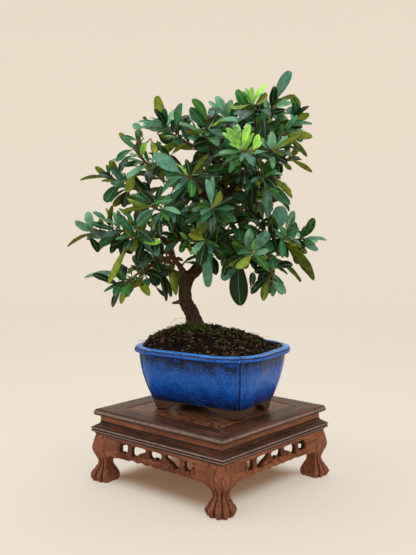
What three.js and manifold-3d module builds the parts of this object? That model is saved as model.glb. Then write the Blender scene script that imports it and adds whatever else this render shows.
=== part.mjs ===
// Firethorn bonsai in a glazed pot on a carved wooden stand.
// Millimetres, +Z up. The stand's sides lie along X and Y, and one corner of it faces the viewer.
import * as THREE from 'three';
import { mergeVertices } from 'three/addons/utils/BufferGeometryUtils.js';
import Module from 'manifold-3d';

const wasm = await Module();
wasm.setup();

// Clearance between pieces that touch
const gap = 0.3;

// Stand
const standHalf = 100;
const standTop = 87.2;
const boardBottom = 79.6;
const waistBottom = 71.5;
const waistInset = 6;
const waistThickness = 12;
const mouldingBottom = 57.6;
const railWidth = 27.4;
const panelField = 72;
const panelTop = 86.9;
const tongue = { reach: 4.5, bottom: 81, top: 83.6 };
const legWidth = 19;
const legTop = mouldingBottom - gap;
const legFace = 98.4;
const apronBack = 90;

// Pot
const potCentre = [5.3, -3.8];
const potTurn = 8.7;
const footHeight = 11.7;
const potHeight = 77.3;
const rimHalf = [86.5, 72.7];
const rimCorner = 51;
const rimHeight = 9;
const rimOverhang = 6;
const rimFlat = 8;
const baseHalf = [62.1, 42.5];
const baseCorner = 12;
const potWall = 5.5;
const potFloor = footHeight + 6;
const cornerRib = 0.9;
const drainRadius = 7;
const drainOffset = 30;
const screenSize = 11;
const screenThickness = 1.2;

// Plant: its front faces the stand's near corner
const frontTurn = 40.3;
const trunkCentre = [-19, 3];
const soilPeak = 186.6 - standTop;
const soilEdge = potHeight - 2;
const bladeThickness = 1.4;
const bladeArch = 0.07;
const stalkHalf = 0.6;
const footDepth = 1;
const footShare = 0.06;
const lastFoot = 0.94;
const leafClearance = gap / 2 + 0.05;
const shortestBlade = 30;
const bladeSlimness = 3.1;
const slimmestBlade = 0.26;

const rosewood = { color: '#6b3f2a', roughness: 0.5, metalness: 0 };
const rosewoodTop = { color: '#5a463a', roughness: 0.55, metalness: 0 };
const glaze = { color: '#1d4fae', roughness: 0.2, metalness: 0 };
const earth = { color: '#2b211a', roughness: 1, metalness: 0 };
const bark = { color: '#4a3a2e', roughness: 0.9, metalness: 0 };
const mesh = { color: '#2f2f2f', roughness: 0.7, metalness: 0 };
const foliage = { color: '#2f5d3a', roughness: 0.4, metalness: 0 };

const degrees = Math.PI / 180;
const vector = (x, y, z) => new THREE.Vector3(x, y, z);
const mix = (a, b, share) => a + (b - a) * share;

// Repeatable draw between 0 and 1
function chance(number) {
  const value = Math.sin(number * 12.9898) * 43758.5453;
  return value - Math.floor(value);
}

// Closed skin over rings of points, each counter-clockwise about the way ahead.
// A ring of one point closes an end to a tip, and a full end ring gets a flat or domed cap.
function loft(rings) {
  const count = Math.max(...rings.map((ring) => ring.length));
  const points = rings.flat();
  const faces = [];
  const starts = [];
  let start = 0;
  for (const ring of rings) {
    starts.push(start);
    start += ring.length;
  }
  const at = (ring, i) => starts[ring] + (rings[ring].length === 1 ? 0 : i % count);
  for (let k = 0; k + 1 < rings.length; k += 1) {
    for (let i = 0; i < count; i += 1) {
      const [a, b] = [at(k, i), at(k, i + 1)];
      const [c, d] = [at(k + 1, i), at(k + 1, i + 1)];
      if (a === b) faces.push([a, d, c]);
      else if (c === d) faces.push([a, b, c]);
      else if (i % 2 === 0) faces.push([a, b, c], [b, d, c]);
      else faces.push([a, b, d], [a, d, c]);
    }
  }
  const last = rings.length - 1;
  for (const [ring, order] of [[0, -1], [last, 1]]) {
    if (rings[ring].length === 1) continue;
    const centre = rings[ring].reduce((sum, p) => sum.add(p), vector(0, 0, 0));
    points.push(centre.divideScalar(count));
    for (let i = 0; i < count; i += 1) {
      const pair = [at(ring, i), at(ring, i + 1)];
      faces.push([points.length - 1, ...(order > 0 ? pair : pair.reverse())]);
    }
  }
  const geometry = new THREE.BufferGeometry();
  geometry.setFromPoints(points);
  geometry.setIndex(faces.flat());
  return geometry;
}

function toSolid(geometry) {
  const plain = geometry.clone();
  plain.deleteAttribute('normal');
  plain.deleteAttribute('uv');
  const merged = mergeVertices(plain, 1e-4);
  return new wasm.Manifold(new wasm.Mesh({
    numProp: 3,
    vertProperties: new Float32Array(merged.attributes.position.array),
    triVerts: new Uint32Array(merged.index.array),
  }));
}

function toGeometry(solid) {
  const { vertProperties, triVerts } = solid.getMesh();
  const geometry = new THREE.BufferGeometry();
  geometry.setAttribute('position', new THREE.BufferAttribute(new Float32Array(vertProperties), 3));
  geometry.setIndex(new THREE.BufferAttribute(new Uint32Array(triVerts), 1));
  geometry.computeVertexNormals();
  return geometry;
}

function addPiece(group, name, geometry, finish) {
  const piece = new THREE.Mesh(geometry, new THREE.MeshStandardMaterial(finish));
  piece.name = name;
  group.add(piece);
  return piece;
}

const bonsai = new THREE.Group();

// Stand: mitred lengths. A profile point is [distance from the stand's axis, height].
function mitredLength(profile) {
  const geometry = new THREE.ExtrudeGeometry(
    new THREE.Shape(profile.map(([out, z]) => new THREE.Vector2(out, z))),
    { depth: 1, bevelEnabled: false },
  );
  const spots = geometry.attributes.position;
  for (let i = 0; i < spots.count; i += 1) {
    const out = spots.getX(i);
    const reach = out - gap / 2;
    spots.setXYZ(i, mix(reach, -reach, spots.getZ(i)), -out, spots.getY(i));
  }
  return geometry;
}

const sides = ['front', 'right', 'back', 'left'];

function addRound(name, geometry, finish) {
  sides.forEach((side, turn) => {
    addPiece(bonsai, `${name}_${side}`, geometry, finish).rotation.z = turn * 90 * degrees;
  });
}

const railProfile = [
  [standHalf - railWidth, standTop],
  [standHalf - railWidth, tongue.top + gap],
  [standHalf - railWidth + tongue.reach + gap, tongue.top + gap],
  [standHalf - railWidth + tongue.reach + gap, tongue.bottom - gap],
  [standHalf - railWidth, tongue.bottom - gap],
  [standHalf - railWidth, boardBottom],
  [standHalf - 1.6, boardBottom],
  [standHalf - 0.3, 80.6],
  [standHalf, 82],
  [standHalf - 0.5, 84.6],
  [standHalf - 1.7, 86.4],
  [standHalf - 3.1, standTop],
];
addRound('top_rail', mitredLength(railProfile), rosewoodTop);

const waistFace = standHalf - waistInset;
const waistProfile = [
  [waistFace - waistThickness, boardBottom - gap],
  [waistFace - waistThickness, waistBottom + gap],
  [waistFace, waistBottom + gap],
  [waistFace, boardBottom - gap],
];
addRound('waist_board', mitredLength(waistProfile), rosewood);

const mouldingProfile = [
  [waistFace - waistThickness - 4, waistBottom],
  [waistFace - waistThickness - 4, mouldingBottom],
  [standHalf - 0.8, mouldingBottom],
  [standHalf - 0.4, 59.4],
  [standHalf + 1.2, 59.8],
  [standHalf + 2.4, 60.9],
  [standHalf + 1.1, 62.5],
  [standHalf + 2.4, 64.2],
  [standHalf + 1.4, 65.6],
  [standHalf - 1.8, 67.8],
  [standHalf - 4.4, 69.4],
  [waistFace + 0.4, waistBottom],
];
addRound('moulding', mitredLength(mouldingProfile), rosewood);

// Floating panel with a tongue round its edge
function squareRing(half, z) {
  return [vector(half, half, z), vector(-half, half, z), vector(-half, -half, z), vector(half, -half, z)];
}
const tongueHalf = standHalf - railWidth + tongue.reach;
addPiece(bonsai, 'top_panel', loft([
  squareRing(panelField, 80.2),
  squareRing(panelField, tongue.bottom),
  squareRing(tongueHalf, tongue.bottom),
  squareRing(tongueHalf, tongue.top),
  squareRing(panelField, tongue.top),
  squareRing(panelField, panelTop),
]), rosewoodTop);

// Apron: a pierced board with a swelling face, [distance out, height] from the top down
const apronFace = [[98.2, legTop], [100.8, 46], [101.4, 37], [98.6, 29]];
const apronEnd = legFace - legWidth - gap;
const apronCut = { start: 70, depth: 40 };
const scallop = { reach: 50, step: 7.15, height: 35, depth: 0.9 };
const apronShoulder = [[57, 33.4], [65, 33], [71, 34.4], [apronEnd, 30.4]];
const middleOpening = [[-8.4, 51.6], [8.4, 51.6], [8, 46.6], [4.8, 44.6], [0, 47.8], [-4.8, 44.6],
  [-8, 46.6]];
const scrollOpening = [[16.5, 50], [17.6, 52], [34, 52], [37, 47], [35.8, 41.8], [31, 42.4],
  [25, 46.8], [20, 48.6]];
const endOpening = [[45.2, 51.4], [54.8, 51.8], [55.2, 46.4], [55.4, 42.6], [51.4, 44.2],
  [48.6, 42.2], [45.4, 43.6]];
const mirrored = (outline) => outline.map(([x, z]) => [-x, z]);

function apronOutline() {
  const lower = [];
  for (let lobe = 0; lobe * scallop.step <= scallop.reach; lobe += 1) {
    const drop = lobe % 2 === 0 ? -scallop.depth : scallop.depth;
    lower.push([lobe * scallop.step, scallop.height + drop]);
  }
  lower.push(...apronShoulder);
  const half = [...lower, [apronEnd, legTop]];
  return [...half, ...mirrored(half).reverse().slice(0, -1)];
}

const asPoints = (outline) => outline.map(([x, z]) => new THREE.Vector2(x, z));

function apronGeometry() {
  const outline = new THREE.Shape(asPoints(apronOutline()));
  const openings = [middleOpening, scrollOpening, mirrored(scrollOpening), endOpening, mirrored(endOpening)];
  outline.holes = openings.map((opening) => new THREE.Path(asPoints(opening)));
  const pierced = new THREE.ExtrudeGeometry(outline, {
    depth: apronCut.depth,
    bevelEnabled: false,
  });
  pierced.rotateX(90 * degrees).translate(0, -apronCut.start, 0);
  const back = [[apronBack, apronFace.at(-1)[1]], [apronBack, legTop]];
  const section = new THREE.Shape(asPoints([...apronFace, ...back]));
  const board = new THREE.ExtrudeGeometry(section, { depth: 2 * standHalf, bevelEnabled: false });
  board.applyMatrix4(new THREE.Matrix4().makeBasis(vector(0, -1, 0), vector(0, 0, 1), vector(-1, 0, 0)));
  board.translate(standHalf, 0, 0);
  return toGeometry(toSolid(pierced).intersect(toSolid(board)));
}
addRound('apron', apronGeometry(), rosewood);

// Leg: each level is [height, outer face, inner face, outer corner's radius, side corners' radius,
// depth of the grooves between the toes]. Faces are measured from the stand's axis.
const legLevels = [
  [0, 102.4, 79.4, 8, 6, 0.6],
  [3, 104.8, 78, 9, 7, 1.2],
  [8, 105.4, 77.6, 9, 7, 1.4],
  [14.5, 102, 80, 8, 5.5, 1],
  [19, 98.4, 83, 6, 3.5, 0.9],
  [23.5, 97.2, 84, 5, 3, 0.8],
  [28.5, 98.8, 82.4, 5, 2.5, 0.5],
  [34, 101.4, 79.8, 5, 1, 0],
  [40, 102, legFace - legWidth, 5, 0.8, 0],
  [49, 100.4, legFace - legWidth, 5, 0.8, 0],
  [legTop, legFace, legFace - legWidth, 3.5, 0.8, 0],
];
const cornerSteps = 4;
const toeGrooves = 3;

function roundCorner(x, y, radius, from) {
  const points = [];
  for (let i = 0; i <= cornerSteps; i += 1) {
    const angle = (from + (90 * i) / cornerSteps) * degrees;
    points.push([x + radius * Math.cos(angle), y + radius * Math.sin(angle)]);
  }
  return points;
}

function legRing([z, outer, inner, outerRadius, sideRadius, groove]) {
  const middle = (outer + inner) / 2;
  const outline = [
    ...roundCorner(outer - outerRadius, outer - outerRadius, outerRadius, 0),
    [middle + 1, outer],
    [middle - 3, outer],
    ...roundCorner(inner + sideRadius, outer - sideRadius, sideRadius, 90).slice(0, 3),
    [inner, inner],
    ...roundCorner(outer - sideRadius, inner + sideRadius, sideRadius, 270).slice(2),
    [outer, middle - 3],
    [outer, middle + 1],
  ];
  return outline.map(([x, y]) => {
    const bearing = Math.atan2(y - inner, x - inner);
    const carve = groove * Math.max(0, -Math.cos(bearing * 4 * toeGrooves));
    const pull = 1 - carve / Math.hypot(x - middle, y - middle);
    return vector(mix(middle, x, pull), mix(middle, y, pull), z);
  });
}
addRound('leg', loft(legLevels.map(legRing)).rotateZ(-90 * degrees), rosewood);

// Pot, in its own group, turned on the stand
const pot = new THREE.Group();
pot.position.set(potCentre[0], potCentre[1], standTop + gap);
pot.rotation.z = potTurn * degrees;
bonsai.add(pot);

// Rounded rectangle with a narrow rib down the middle of each corner
const cornerAngles = [0, 22, 41, 43, 47, 49, 68, 90];
function potRing(halfX, halfY, radius, z, rib = 0) {
  const ring = [];
  for (const [quarter, signX, signY] of [[0, 1, 1], [1, -1, 1], [2, -1, -1], [3, 1, -1]]) {
    for (const angle of cornerAngles) {
      const bearing = (quarter * 90 + angle) * degrees;
      const reach = radius + (angle === 43 || angle === 47 ? rib : 0);
      ring.push(vector(
        signX * (halfX - radius) + reach * Math.cos(bearing),
        signY * (halfY - radius) + reach * Math.sin(bearing),
        z,
      ));
    }
  }
  return ring;
}

// The wall's plan at a height: it swells quickly above the foot and is nearly upright under the rim
const bodyTop = potHeight - rimHeight;
function bodyPlan(z) {
  const rise = (z - footHeight) / (bodyTop - footHeight);
  const swell = 1 - (1 - Math.min(1, Math.max(0, rise))) ** 1.75;
  return [
    mix(baseHalf[0], rimHalf[0] - rimOverhang, swell),
    mix(baseHalf[1], rimHalf[1] - rimOverhang, swell),
    mix(baseCorner, rimCorner - rimOverhang, swell),
  ];
}
function bodyRing(z, inward, rib = 0) {
  const [halfX, halfY, radius] = bodyPlan(z);
  return potRing(halfX - inward, halfY - inward, Math.max(3, radius - inward), z, rib);
}
function rimRing(inward, drop, rib = 0) {
  return potRing(rimHalf[0] - inward, rimHalf[1] - inward, rimCorner - inward, potHeight - drop, rib);
}

const bodySteps = [0, 0.15, 0.35, 0.62, 1];
const bodyHeights = bodySteps.map((step) => mix(footHeight, bodyTop, step));
const cavityHeights = [0, 0.2, 0.5].map((step) => mix(potFloor, bodyTop, step));
const lipInset = rimFlat + 2;
const lipDrop = 3;

function cavityRings(inward) {
  return [
    ...cavityHeights.map((z) => bodyRing(z, potWall + inward)),
    rimRing(lipInset + inward, rimHeight * 0.6),
  ];
}

// Foot: an ogee bracket under each corner, [height, length along each side, inset]
const footLevels = [[0, 20, 3], [3.5, 21, 2.4], [7, 25, 1.4], [footHeight + 1, 34, 1]];
function footRing([z, length, inset], signX, signY) {
  const [x, y] = [baseHalf[0] - inset, baseHalf[1] - inset];
  const cut = baseCorner / 2;
  const ring = [[x, y - cut], [x - cut, y], [x - length, y], [x - length * 0.8, y - length * 0.6],
    [x - length * 0.6, y - length * 0.8], [x, y - length]];
  const placed = ring.map(([a, b]) => vector(signX * a, signY * b, z));
  return signX * signY > 0 ? placed : placed.reverse();
}

// Rim from its lower edge up and over, [inset from the widest line, drop from the top, corner rib]
const rimProfile = [
  [1.2, rimHeight - 0.4, cornerRib],
  [0, rimHeight - 2.2, cornerRib],
  [0, 2, cornerRib],
  [0.9, 0.6, 0],
  [2, 0, 0],
];

function potGeometry() {
  const outside = toSolid(loft([
    ...bodyHeights.map((z) => bodyRing(z, 0, cornerRib)),
    ...rimProfile.map((line) => rimRing(...line)),
  ]));
  const cavity = toSolid(loft([...cavityRings(0), rimRing(rimFlat + 1, 0.5), rimRing(rimFlat, -1)]));
  let solid = outside.subtract(cavity);
  for (const [signX, signY] of [[1, 1], [-1, 1], [-1, -1], [1, -1]]) {
    solid = solid.add(toSolid(loft(footLevels.map((level) => footRing(level, signX, signY)))));
  }
  for (const side of [-1, 1]) {
    const drain = new THREE.CylinderGeometry(drainRadius, drainRadius, 30, 16).rotateX(90 * degrees);
    solid = solid.subtract(toSolid(drain.translate(side * drainOffset, 0, potFloor)));
  }
  return toGeometry(solid);
}
addPiece(pot, 'pot', potGeometry(), glaze);

// Plastic mesh over each drain hole
const screenHoles = [-4.6, 4.6];
const screenHole = 3.6;
const diamond = [[0, -1], [1, 0], [0, 1], [-1, 0]];
function screenGeometry() {
  const square = [[-1, -1], [1, -1], [1, 1], [-1, 1]];
  const shape = new THREE.Shape(asPoints(square.map(([a, b]) => [a * screenSize, b * screenSize])));
  for (const x of screenHoles) {
    for (const y of screenHoles) {
      const opening = diamond.map(([a, b]) => [x + a * screenHole, y + b * screenHole]);
      shape.holes.push(new THREE.Path(asPoints(opening)));
    }
  }
  return new THREE.ExtrudeGeometry(shape, { depth: screenThickness, bevelEnabled: false });
}
for (const [name, side] of [['drain_mesh_left', -1], ['drain_mesh_right', 1]]) {
  addPiece(pot, name, screenGeometry(), mesh).position.set(side * drainOffset, 0, potFloor + gap);
}

// Plant readings, [right, back, up] seen from the front, from the middle of the stand.
// Limbs run from their root outward, and each point ends with the limb's radius.
const limbs = {
  trunk: [
    [-19, 3, 157, 13], [-19, 3, 179, 11.4], [-22, 2, 197, 9.2], [-29, 1, 211, 8.2], [-32, 0, 224, 7.6],
    [-30, 0, 240, 7.8], [-19, 2, 253, 7], [-7, 6, 270, 6.6], [1, 10, 290, 6.4], [7, 12, 315, 6.2],
    [17, 8, 337, 6.4], [30, 5, 352, 6.2], [43, 4, 367, 5.6], [52, 8, 384, 4.4], [59, 12, 404, 3.4],
    [64, 12, 423, 2.4],
  ],
  left_low: [
    [-31, 0, 246, 4.5], [-40, -6, 261, 3], [-48, -12, 271, 2.6], [-51, -18, 282, 2.3],
    [-54, -22, 290, 2.6], [-64, -26, 295, 2], [-77, -25, 297, 1.7],
  ],
  knob_twig: [[-51, -20, 286, 1.8], [-41, -27, 290, 1.4]],
  lower_left: [[-48, -12, 269, 2.2], [-65, -18, 263, 1.9], [-76, -22, 257, 1.7]],
  dead_stub: [[-32, 0, 216, 4], [-47, -6, 214, 1.3]],
  thin_side: [[-15, 3, 259, 2.4], [-19, -4, 269, 1.4], [-25, -10, 280, 1.3], [-28, -13, 285, 1.1]],
  left_mid: [[3, 10, 291, 5], [-14, 4, 306, 3.6], [-34, 2, 320, 3.2], [-56, -2, 333, 2.6]],
  left_upper: [[8, 12, 317, 5], [-7, 8, 340, 3.7], [-24, 0, 357, 3], [-43, -6, 369, 2.3]],
  top_left: [[28, 5, 351, 5], [12, 6, 371, 3.3], [-5, 4, 387, 2.7], [-20, 0, 399, 2.2]],
  top_mid: [[45, 5, 370, 4], [37, 10, 395, 2.6]],
  right_up: [[53, 8, 387, 3.8], [69, 8, 401, 2.4]],
  right_low: [[3, 10, 293, 4.6], [22, 6, 299, 3.2], [43, -2, 300, 2.7], [64, -7, 298, 2.2]],
  front_low: [[18, 6, 299, 3.2], [20, -12, 284, 2.3]],
};
// Leafy shoots: the twig's points and its radius at both ends, the side its leaves lean to
// (-1 is the front, 1 the back), how many leaves are placed by rule, and the leaves seen from the
// front: [place along the twig, reach to the right, reach up, seen width, colour].
const shoots = {
  top_left_tip: {
    twig: [[-20, 0, 399], [-34, 6, 406], [-47, 12, 413], [-57, 16, 426]],
    radii: [2.2, 1],
    lean: -1,
    extra: 3,
    leaves: [
      [1, -11, 36, 12, 'olive'], [0.95, -1, 19, 10, 'teal'], [0.9, -13, 19, 7, 'dark'],
      [0.85, -29, 9, 6, 'teal'], [0.75, -40, 6, 5, 'teal'], [0.35, -12, -2, 11, 'teal'],
      [0.45, -21, -16, 10, 'olive'], [0.55, 2, 23, 6, 'teal'], [0.5, -2, 17, 4, 'teal'],
      [0.25, -1, 18, 5, 'teal'], [0.3, 6, 33, 4, 'dark'], [0.7, -26, 4, 6, 'mint'],
      [0.65, -29, 24, 5, 'teal'], [0.6, -42, 16, 5, 'teal'],
    ],
  },
  left_top: {
    twig: [[-43, -6, 369], [-61, -18, 374], [-75, -26, 378], [-89, -36, 394]],
    radii: [2.2, 1],
    lean: -1,
    extra: 4,
    leaves: [
      [1, -19, 21, 7, 'olive'], [0.9, -14, 15, 5, 'teal'], [0.85, -4, 27, 6, 'teal'],
      [0.8, 6, 16, 7, 'bright'], [0.7, -15, 19, 6, 'teal'], [0.65, -43, 2, 4, 'teal'],
      [0.55, -31, 1, 4, 'teal'], [0.5, 4, -1, 8, 'teal'], [0.35, -3, -9, 8, 'dark'],
      [0.4, 8, -11, 7, 'olive'],
    ],
  },
  left_high: {
    twig: [[-56, -2, 333], [-86, 6, 348], [-103, 10, 352], [-126, 14, 367]],
    radii: [2.4, 1],
    lean: -1,
    extra: 4,
    leaves: [
      [0.8, -7, 25, 10, 'olive'], [1, -17, 11, 7, 'olive'], [0.95, -16, 2, 5, 'olive'],
      [0.85, -42, 0, 4, 'olive'], [0.75, -23, 2, 4, 'olive'], [0.6, -21, 6, 8, 'slate'],
      [0.65, -28, -10, 4, 'teal'], [0.4, -14, 21, 13, 'olive'], [0.25, -40, 23, 7, 'olive'],
      [0.45, 6, -31, 20, 'teal'], [0.35, -27, -14, 10, 'olive'], [0.55, -23, -21, 10, 'olive'],
    ],
  },
  left_end: {
    twig: [[-77, -25, 297], [-92, -22, 297], [-107, -20, 301], [-126, -17, 298], [-142, -15, 300]],
    radii: [1.7, 1],
    lean: -1,
    extra: 3,
    leaves: [
      [0.65, 3, 31, 5, 'olive'], [0.6, -10, 27, 5, 'olive'], [0.35, -10, 25, 7, 'teal'],
      [1, -19, 12, 10, 'mint'], [0.95, -8, 23, 11, 'mint'], [0.8, -19, 4, 6, 'olive'],
      [0.85, -37, -18, 4, 'olive'], [0.75, -21, -8, 6, 'teal'], [0.45, -27, -18, 11, 'teal'],
      [0.4, -32, -23, 6, 'olive'], [0.25, -23, -14, 16, 'dark'], [0.55, -29, 10, 7, 'teal'],
    ],
  },
  left_low: {
    twig: [[-68, -26, 296], [-80, -42, 295], [-91, -56, 291]],
    radii: [1.6, 1],
    lean: -1,
    extra: 4,
    leaves: [
      [1, -11, -11, 5, 'teal'], [0.7, 26, -4, 10, 'bright'], [0.65, -7, -14, 13, 'olive'],
      [0.9, -22, -44, 6, 'olive'], [0.8, -11, 18, 8, 'teal'], [0.85, -19, -26, 5, 'slate'],
    ],
  },
  left_lower: {
    twig: [[-76, -22, 257], [-89, -32, 249], [-103, -42, 237]],
    radii: [1.6, 1],
    lean: -1,
    extra: 3,
    leaves: [
      [0.55, -56, 1, 5, 'slate'], [0.6, -33, 8, 5, 'slate'], [0.85, -25, -10, 4, 'teal'],
      [0.4, -16, -27, 11, 'teal'], [1, -13, -25, 7, 'dark'], [0.9, -4, -22, 7, 'olive'],
      [0.75, -10, 16, 7, 'teal'], [0.45, 16, -24, 10, 'olive'], [0.7, -20, -6, 6, 'dark'],
    ],
  },
  knob_tuft: {
    twig: [[-41, -27, 290], [-29, -36, 290], [-23, -42, 292]],
    radii: [1.3, 0.9],
    lean: -1,
    extra: 0,
    leaves: [
      [0.8, -10, 9, 5, 'bright'], [0.95, 9, -7, 5, 'olive'], [0.85, 0, -13, 5, 'olive'],
    ],
  },
  low_back: {
    twig: [[-40, -4, 261], [-53, 14, 262], [-66, 28, 261], [-79, 40, 252]],
    radii: [2, 1],
    lean: 1,
    extra: 4,
    leaves: [
      [0.7, 40, -41, 14, 'olive'], [0.85, 24, -39, 7, 'dark'], [0.8, 15, -45, 6, 'dark'],
      [1, 9, -25, 13, 'dark'], [0.9, -19, 15, 10, 'dark'],
    ],
  },
  front_left: {
    twig: [[-38, 0, 321], [-48, -36, 322], [-58, -64, 325], [-68, -82, 330]],
    radii: [2.2, 1],
    lean: -1,
    extra: 4,
    leaves: [
      [0.85, 6, 25, 7, 'dark'], [1, -34, -6, 6, 'olive'], [0.65, -15, -16, 7, 'olive'],
      [0.9, -18, -20, 10, 'teal'], [0.7, 11, -17, 10, 'dark'], [0.8, -20, 21, 10, 'dark'],
      [0.55, 13, 9, 8, 'teal'],
    ],
  },
  mid_left_front: {
    twig: [[-24, 0, 357], [-24, -28, 357], [-25, -54, 360], [-25, -70, 362]],
    radii: [2.2, 1],
    lean: -1,
    extra: 4,
    leaves: [
      [0.8, -37, 22, 16, 'teal'], [1, -26, 0, 6, 'teal'], [0.7, -14, 16, 6, 'bright'],
      [0.85, 20, 27, 7, 'olive'], [0.5, -33, -34, 8, 'teal'], [0.4, -22, -58, 12, 'teal'],
      [0.55, 7, -21, 8, 'dark'], [0.65, 18, 9, 7, 'dark'], [0.9, -4, 20, 7, 'dark'],
    ],
  },
  centre_front: {
    twig: [[7, 10, 316], [3, -28, 321], [0, -62, 326], [-1, -86, 328]],
    radii: [2.4, 1],
    lean: -1,
    extra: 4,
    leaves: [
      [1, -6, 32, 8, 'slate'], [0.9, 1, 35, 8, 'slate'], [0.5, -30, 3, 8, 'olive'],
      [0.8, -30, -14, 10, 'teal'], [0.55, 2, -20, 12, 'teal'], [0.65, 26, -11, 10, 'teal'],
      [0.2, 42, 28, 10, 'teal'], [0.85, 22, 13, 8, 'dark'], [0.7, -15, -26, 11, 'olive'],
    ],
  },
  lower_centre: {
    twig: [[-5, 6, 274], [-6, -26, 283], [-7, -52, 290], [-7, -66, 293]],
    radii: [2.2, 1],
    lean: -1,
    extra: 4,
    leaves: [
      [0.9, -6, -26, 14, 'dark'], [0.55, 2, -49, 13, 'slate'], [1, -19, 7, 7, 'olive'],
      [0.85, -16, 14, 10, 'olive'], [0.7, 18, -11, 10, 'dark'], [0.65, -19, -12, 7, 'bright'],
      [0.8, 10, 15, 8, 'dark'],
    ],
  },
  front_low: {
    twig: [[20, -12, 284], [31, -40, 277], [41, -66, 276], [45, -84, 279]],
    radii: [2.2, 1],
    lean: -1,
    extra: 4,
    leaves: [
      [0.35, -28, -1, 12, 'green'], [0.5, -22, -31, 14, 'slate'], [0.4, 2, -62, 22, 'dark'],
      [0.7, 2, 29, 13, 'mint'], [1, 18, 24, 13, 'slate'], [0.9, 5, 16, 6, 'bright'],
      [0.85, 19, 5, 7, 'mint'], [0.8, 18, -10, 7, 'teal'], [0.65, -22, -14, 13, 'dark'],
      [0.55, -12, 14, 11, 'green'],
    ],
  },
  front_low_right: {
    twig: [[57, -5, 299], [63, -28, 284], [65, -50, 265], [69, -60, 247]],
    radii: [2, 1],
    lean: -1,
    extra: 3,
    leaves: [
      [0.75, 1, -33, 13, 'dark'], [1, 16, -19, 5, 'teal'], [0.55, 38, -32, 5, 'olive'],
      [0.7, -11, -27, 11, 'dark'], [0.85, 14, -16, 7, 'teal'], [0.6, -11, -5, 8, 'dark'],
      [0.9, -10, -30, 10, 'olive'],
    ],
  },
  right_low: {
    twig: [[51, -4, 299], [68, -28, 296], [82, -46, 296], [85, -56, 296]],
    radii: [2, 1],
    lean: -1,
    extra: 4,
    leaves: [
      [0.65, 43, -51, 12, 'olive'], [1, -8, 11, 7, 'teal'], [0.9, -12, 5, 7, 'teal'],
      [0.85, 15, 10, 7, 'teal'], [0.8, 20, -12, 8, 'olive'], [0.55, 4, -16, 8, 'dark'],
      [0.7, 10, -25, 8, 'dark'], [0.5, -2, 16, 11, 'dark'],
    ],
  },
  right_end: {
    twig: [[64, -7, 298], [81, -2, 293], [98, 2, 290], [113, 5, 291]],
    radii: [2, 1],
    lean: -1,
    extra: 2,
    leaves: [
      [0.8, 24, -13, 8, 'slate'], [1, 28, -1, 4, 'slate'], [0.9, 12, 25, 11, 'green'],
      [0.7, 1, 21, 7, 'teal'], [0.85, 4, 16, 7, 'teal'], [0.65, 18, -17, 8, 'olive'],
    ],
  },
  right_mid: {
    twig: [[41, 4, 363], [49, -24, 361], [55, -48, 363], [59, -64, 362]],
    radii: [2.2, 1],
    lean: -1,
    extra: 4,
    leaves: [
      [0.8, 32, -31, 13, 'teal'], [0.5, 40, -36, 6, 'olive'], [1, 31, -23, 6, 'olive'],
      [0.4, 34, 9, 5, 'olive'], [0.7, 24, -1, 5, 'teal'], [0.65, -1, -18, 10, 'dark'],
      [0.35, -2, -30, 11, 'dark'], [0.9, 5, -46, 11, 'slate'], [0.55, -13, -13, 10, 'teal'],
      [0.85, 13, -12, 10, 'dark'],
    ],
  },
  big_left_blade: {
    twig: [[39, 4, 366], [39, -26, 370], [37, -50, 369]],
    radii: [2, 1],
    lean: -1,
    extra: 2,
    leaves: [
      [0.55, -50, -1, 11, 'olive'], [0.5, -25, -15, 8, 'dark'], [0.35, -9, -18, 7, 'dark'],
      [0.4, 16, -10, 8, 'dark'],
    ],
  },
  right_twig: {
    twig: [[47, 4, 375], [58, -12, 376], [75, -24, 382], [90, -32, 384]],
    radii: [2, 0.9],
    lean: -1,
    extra: 2,
    leaves: [
      [0.9, 12, 12, 7, 'olive'], [1, 28, -14, 5, 'olive'], [0.7, 2, -18, 7, 'dark'],
      [0.8, 10, -11, 6, 'olive'], [0.85, 19, 2, 5, 'dark'],
    ],
  },
  young_front: {
    twig: [[44, 4, 372], [36, -28, 378], [32, -54, 385], [33, -76, 391]],
    radii: [2.2, 1],
    lean: -1,
    extra: 3,
    leaves: [
      [1, -22, 20, 6, 'bright'], [0.9, -10, 30, 8, 'mint'], [0.65, 5, 35, 11, 'bright'],
      [0.5, -21, 14, 6, 'bright'], [0.8, 8, 21, 7, 'bright'], [0.55, 18, 19, 8, 'bright'],
      [0.85, -8, 15, 7, 'mint'], [0.7, 14, 27, 7, 'bright'], [0.4, -16, 0, 7, 'bright'],
    ],
  },
  right_inner: {
    twig: [[57, 10, 396], [62, -18, 394], [65, -38, 391], [67, -54, 392]],
    radii: [2, 1],
    lean: -1,
    extra: 4,
    leaves: [
      [1, -2, 20, 11, 'mint'], [0.9, 18, 17, 8, 'mint'], [0.85, 13, 11, 6, 'dark'],
      [0.8, 35, 20, 5, 'olive'], [0.65, -30, 24, 6, 'olive'], [0.7, 21, -13, 8, 'dark'],
      [0.55, -11, -11, 8, 'teal'],
    ],
  },
  right_top: {
    twig: [[69, 8, 401], [83, 16, 417], [95, 24, 430], [103, 28, 437]],
    radii: [2.2, 1],
    lean: -1,
    extra: 4,
    leaves: [
      [1, -6, 29, 7, 'green'], [0.9, -2, 17, 11, 'teal'], [0.85, 19, 8, 8, 'olive'],
      [0.8, 17, 16, 5, 'dark'], [0.7, 28, 1, 5, 'teal'], [0.65, 15, -2, 8, 'dark'],
      [0.55, 6, -7, 10, 'dark'], [0.5, -2, 22, 8, 'dark'],
    ],
  },
  right_upper: {
    twig: [[60, 12, 408], [70, -4, 412], [79, -16, 413], [85, -28, 411]],
    radii: [1.8, 0.9],
    lean: -1,
    extra: 3,
    leaves: [
      [1, 31, -2, 10, 'olive'], [0.9, -6, 9, 10, 'green'], [0.65, -14, 8, 6, 'teal'],
      [0.85, 19, -14, 6, 'olive'], [0.8, 30, -25, 5, 'olive'], [0.7, -5, -14, 10, 'dark'],
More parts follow.
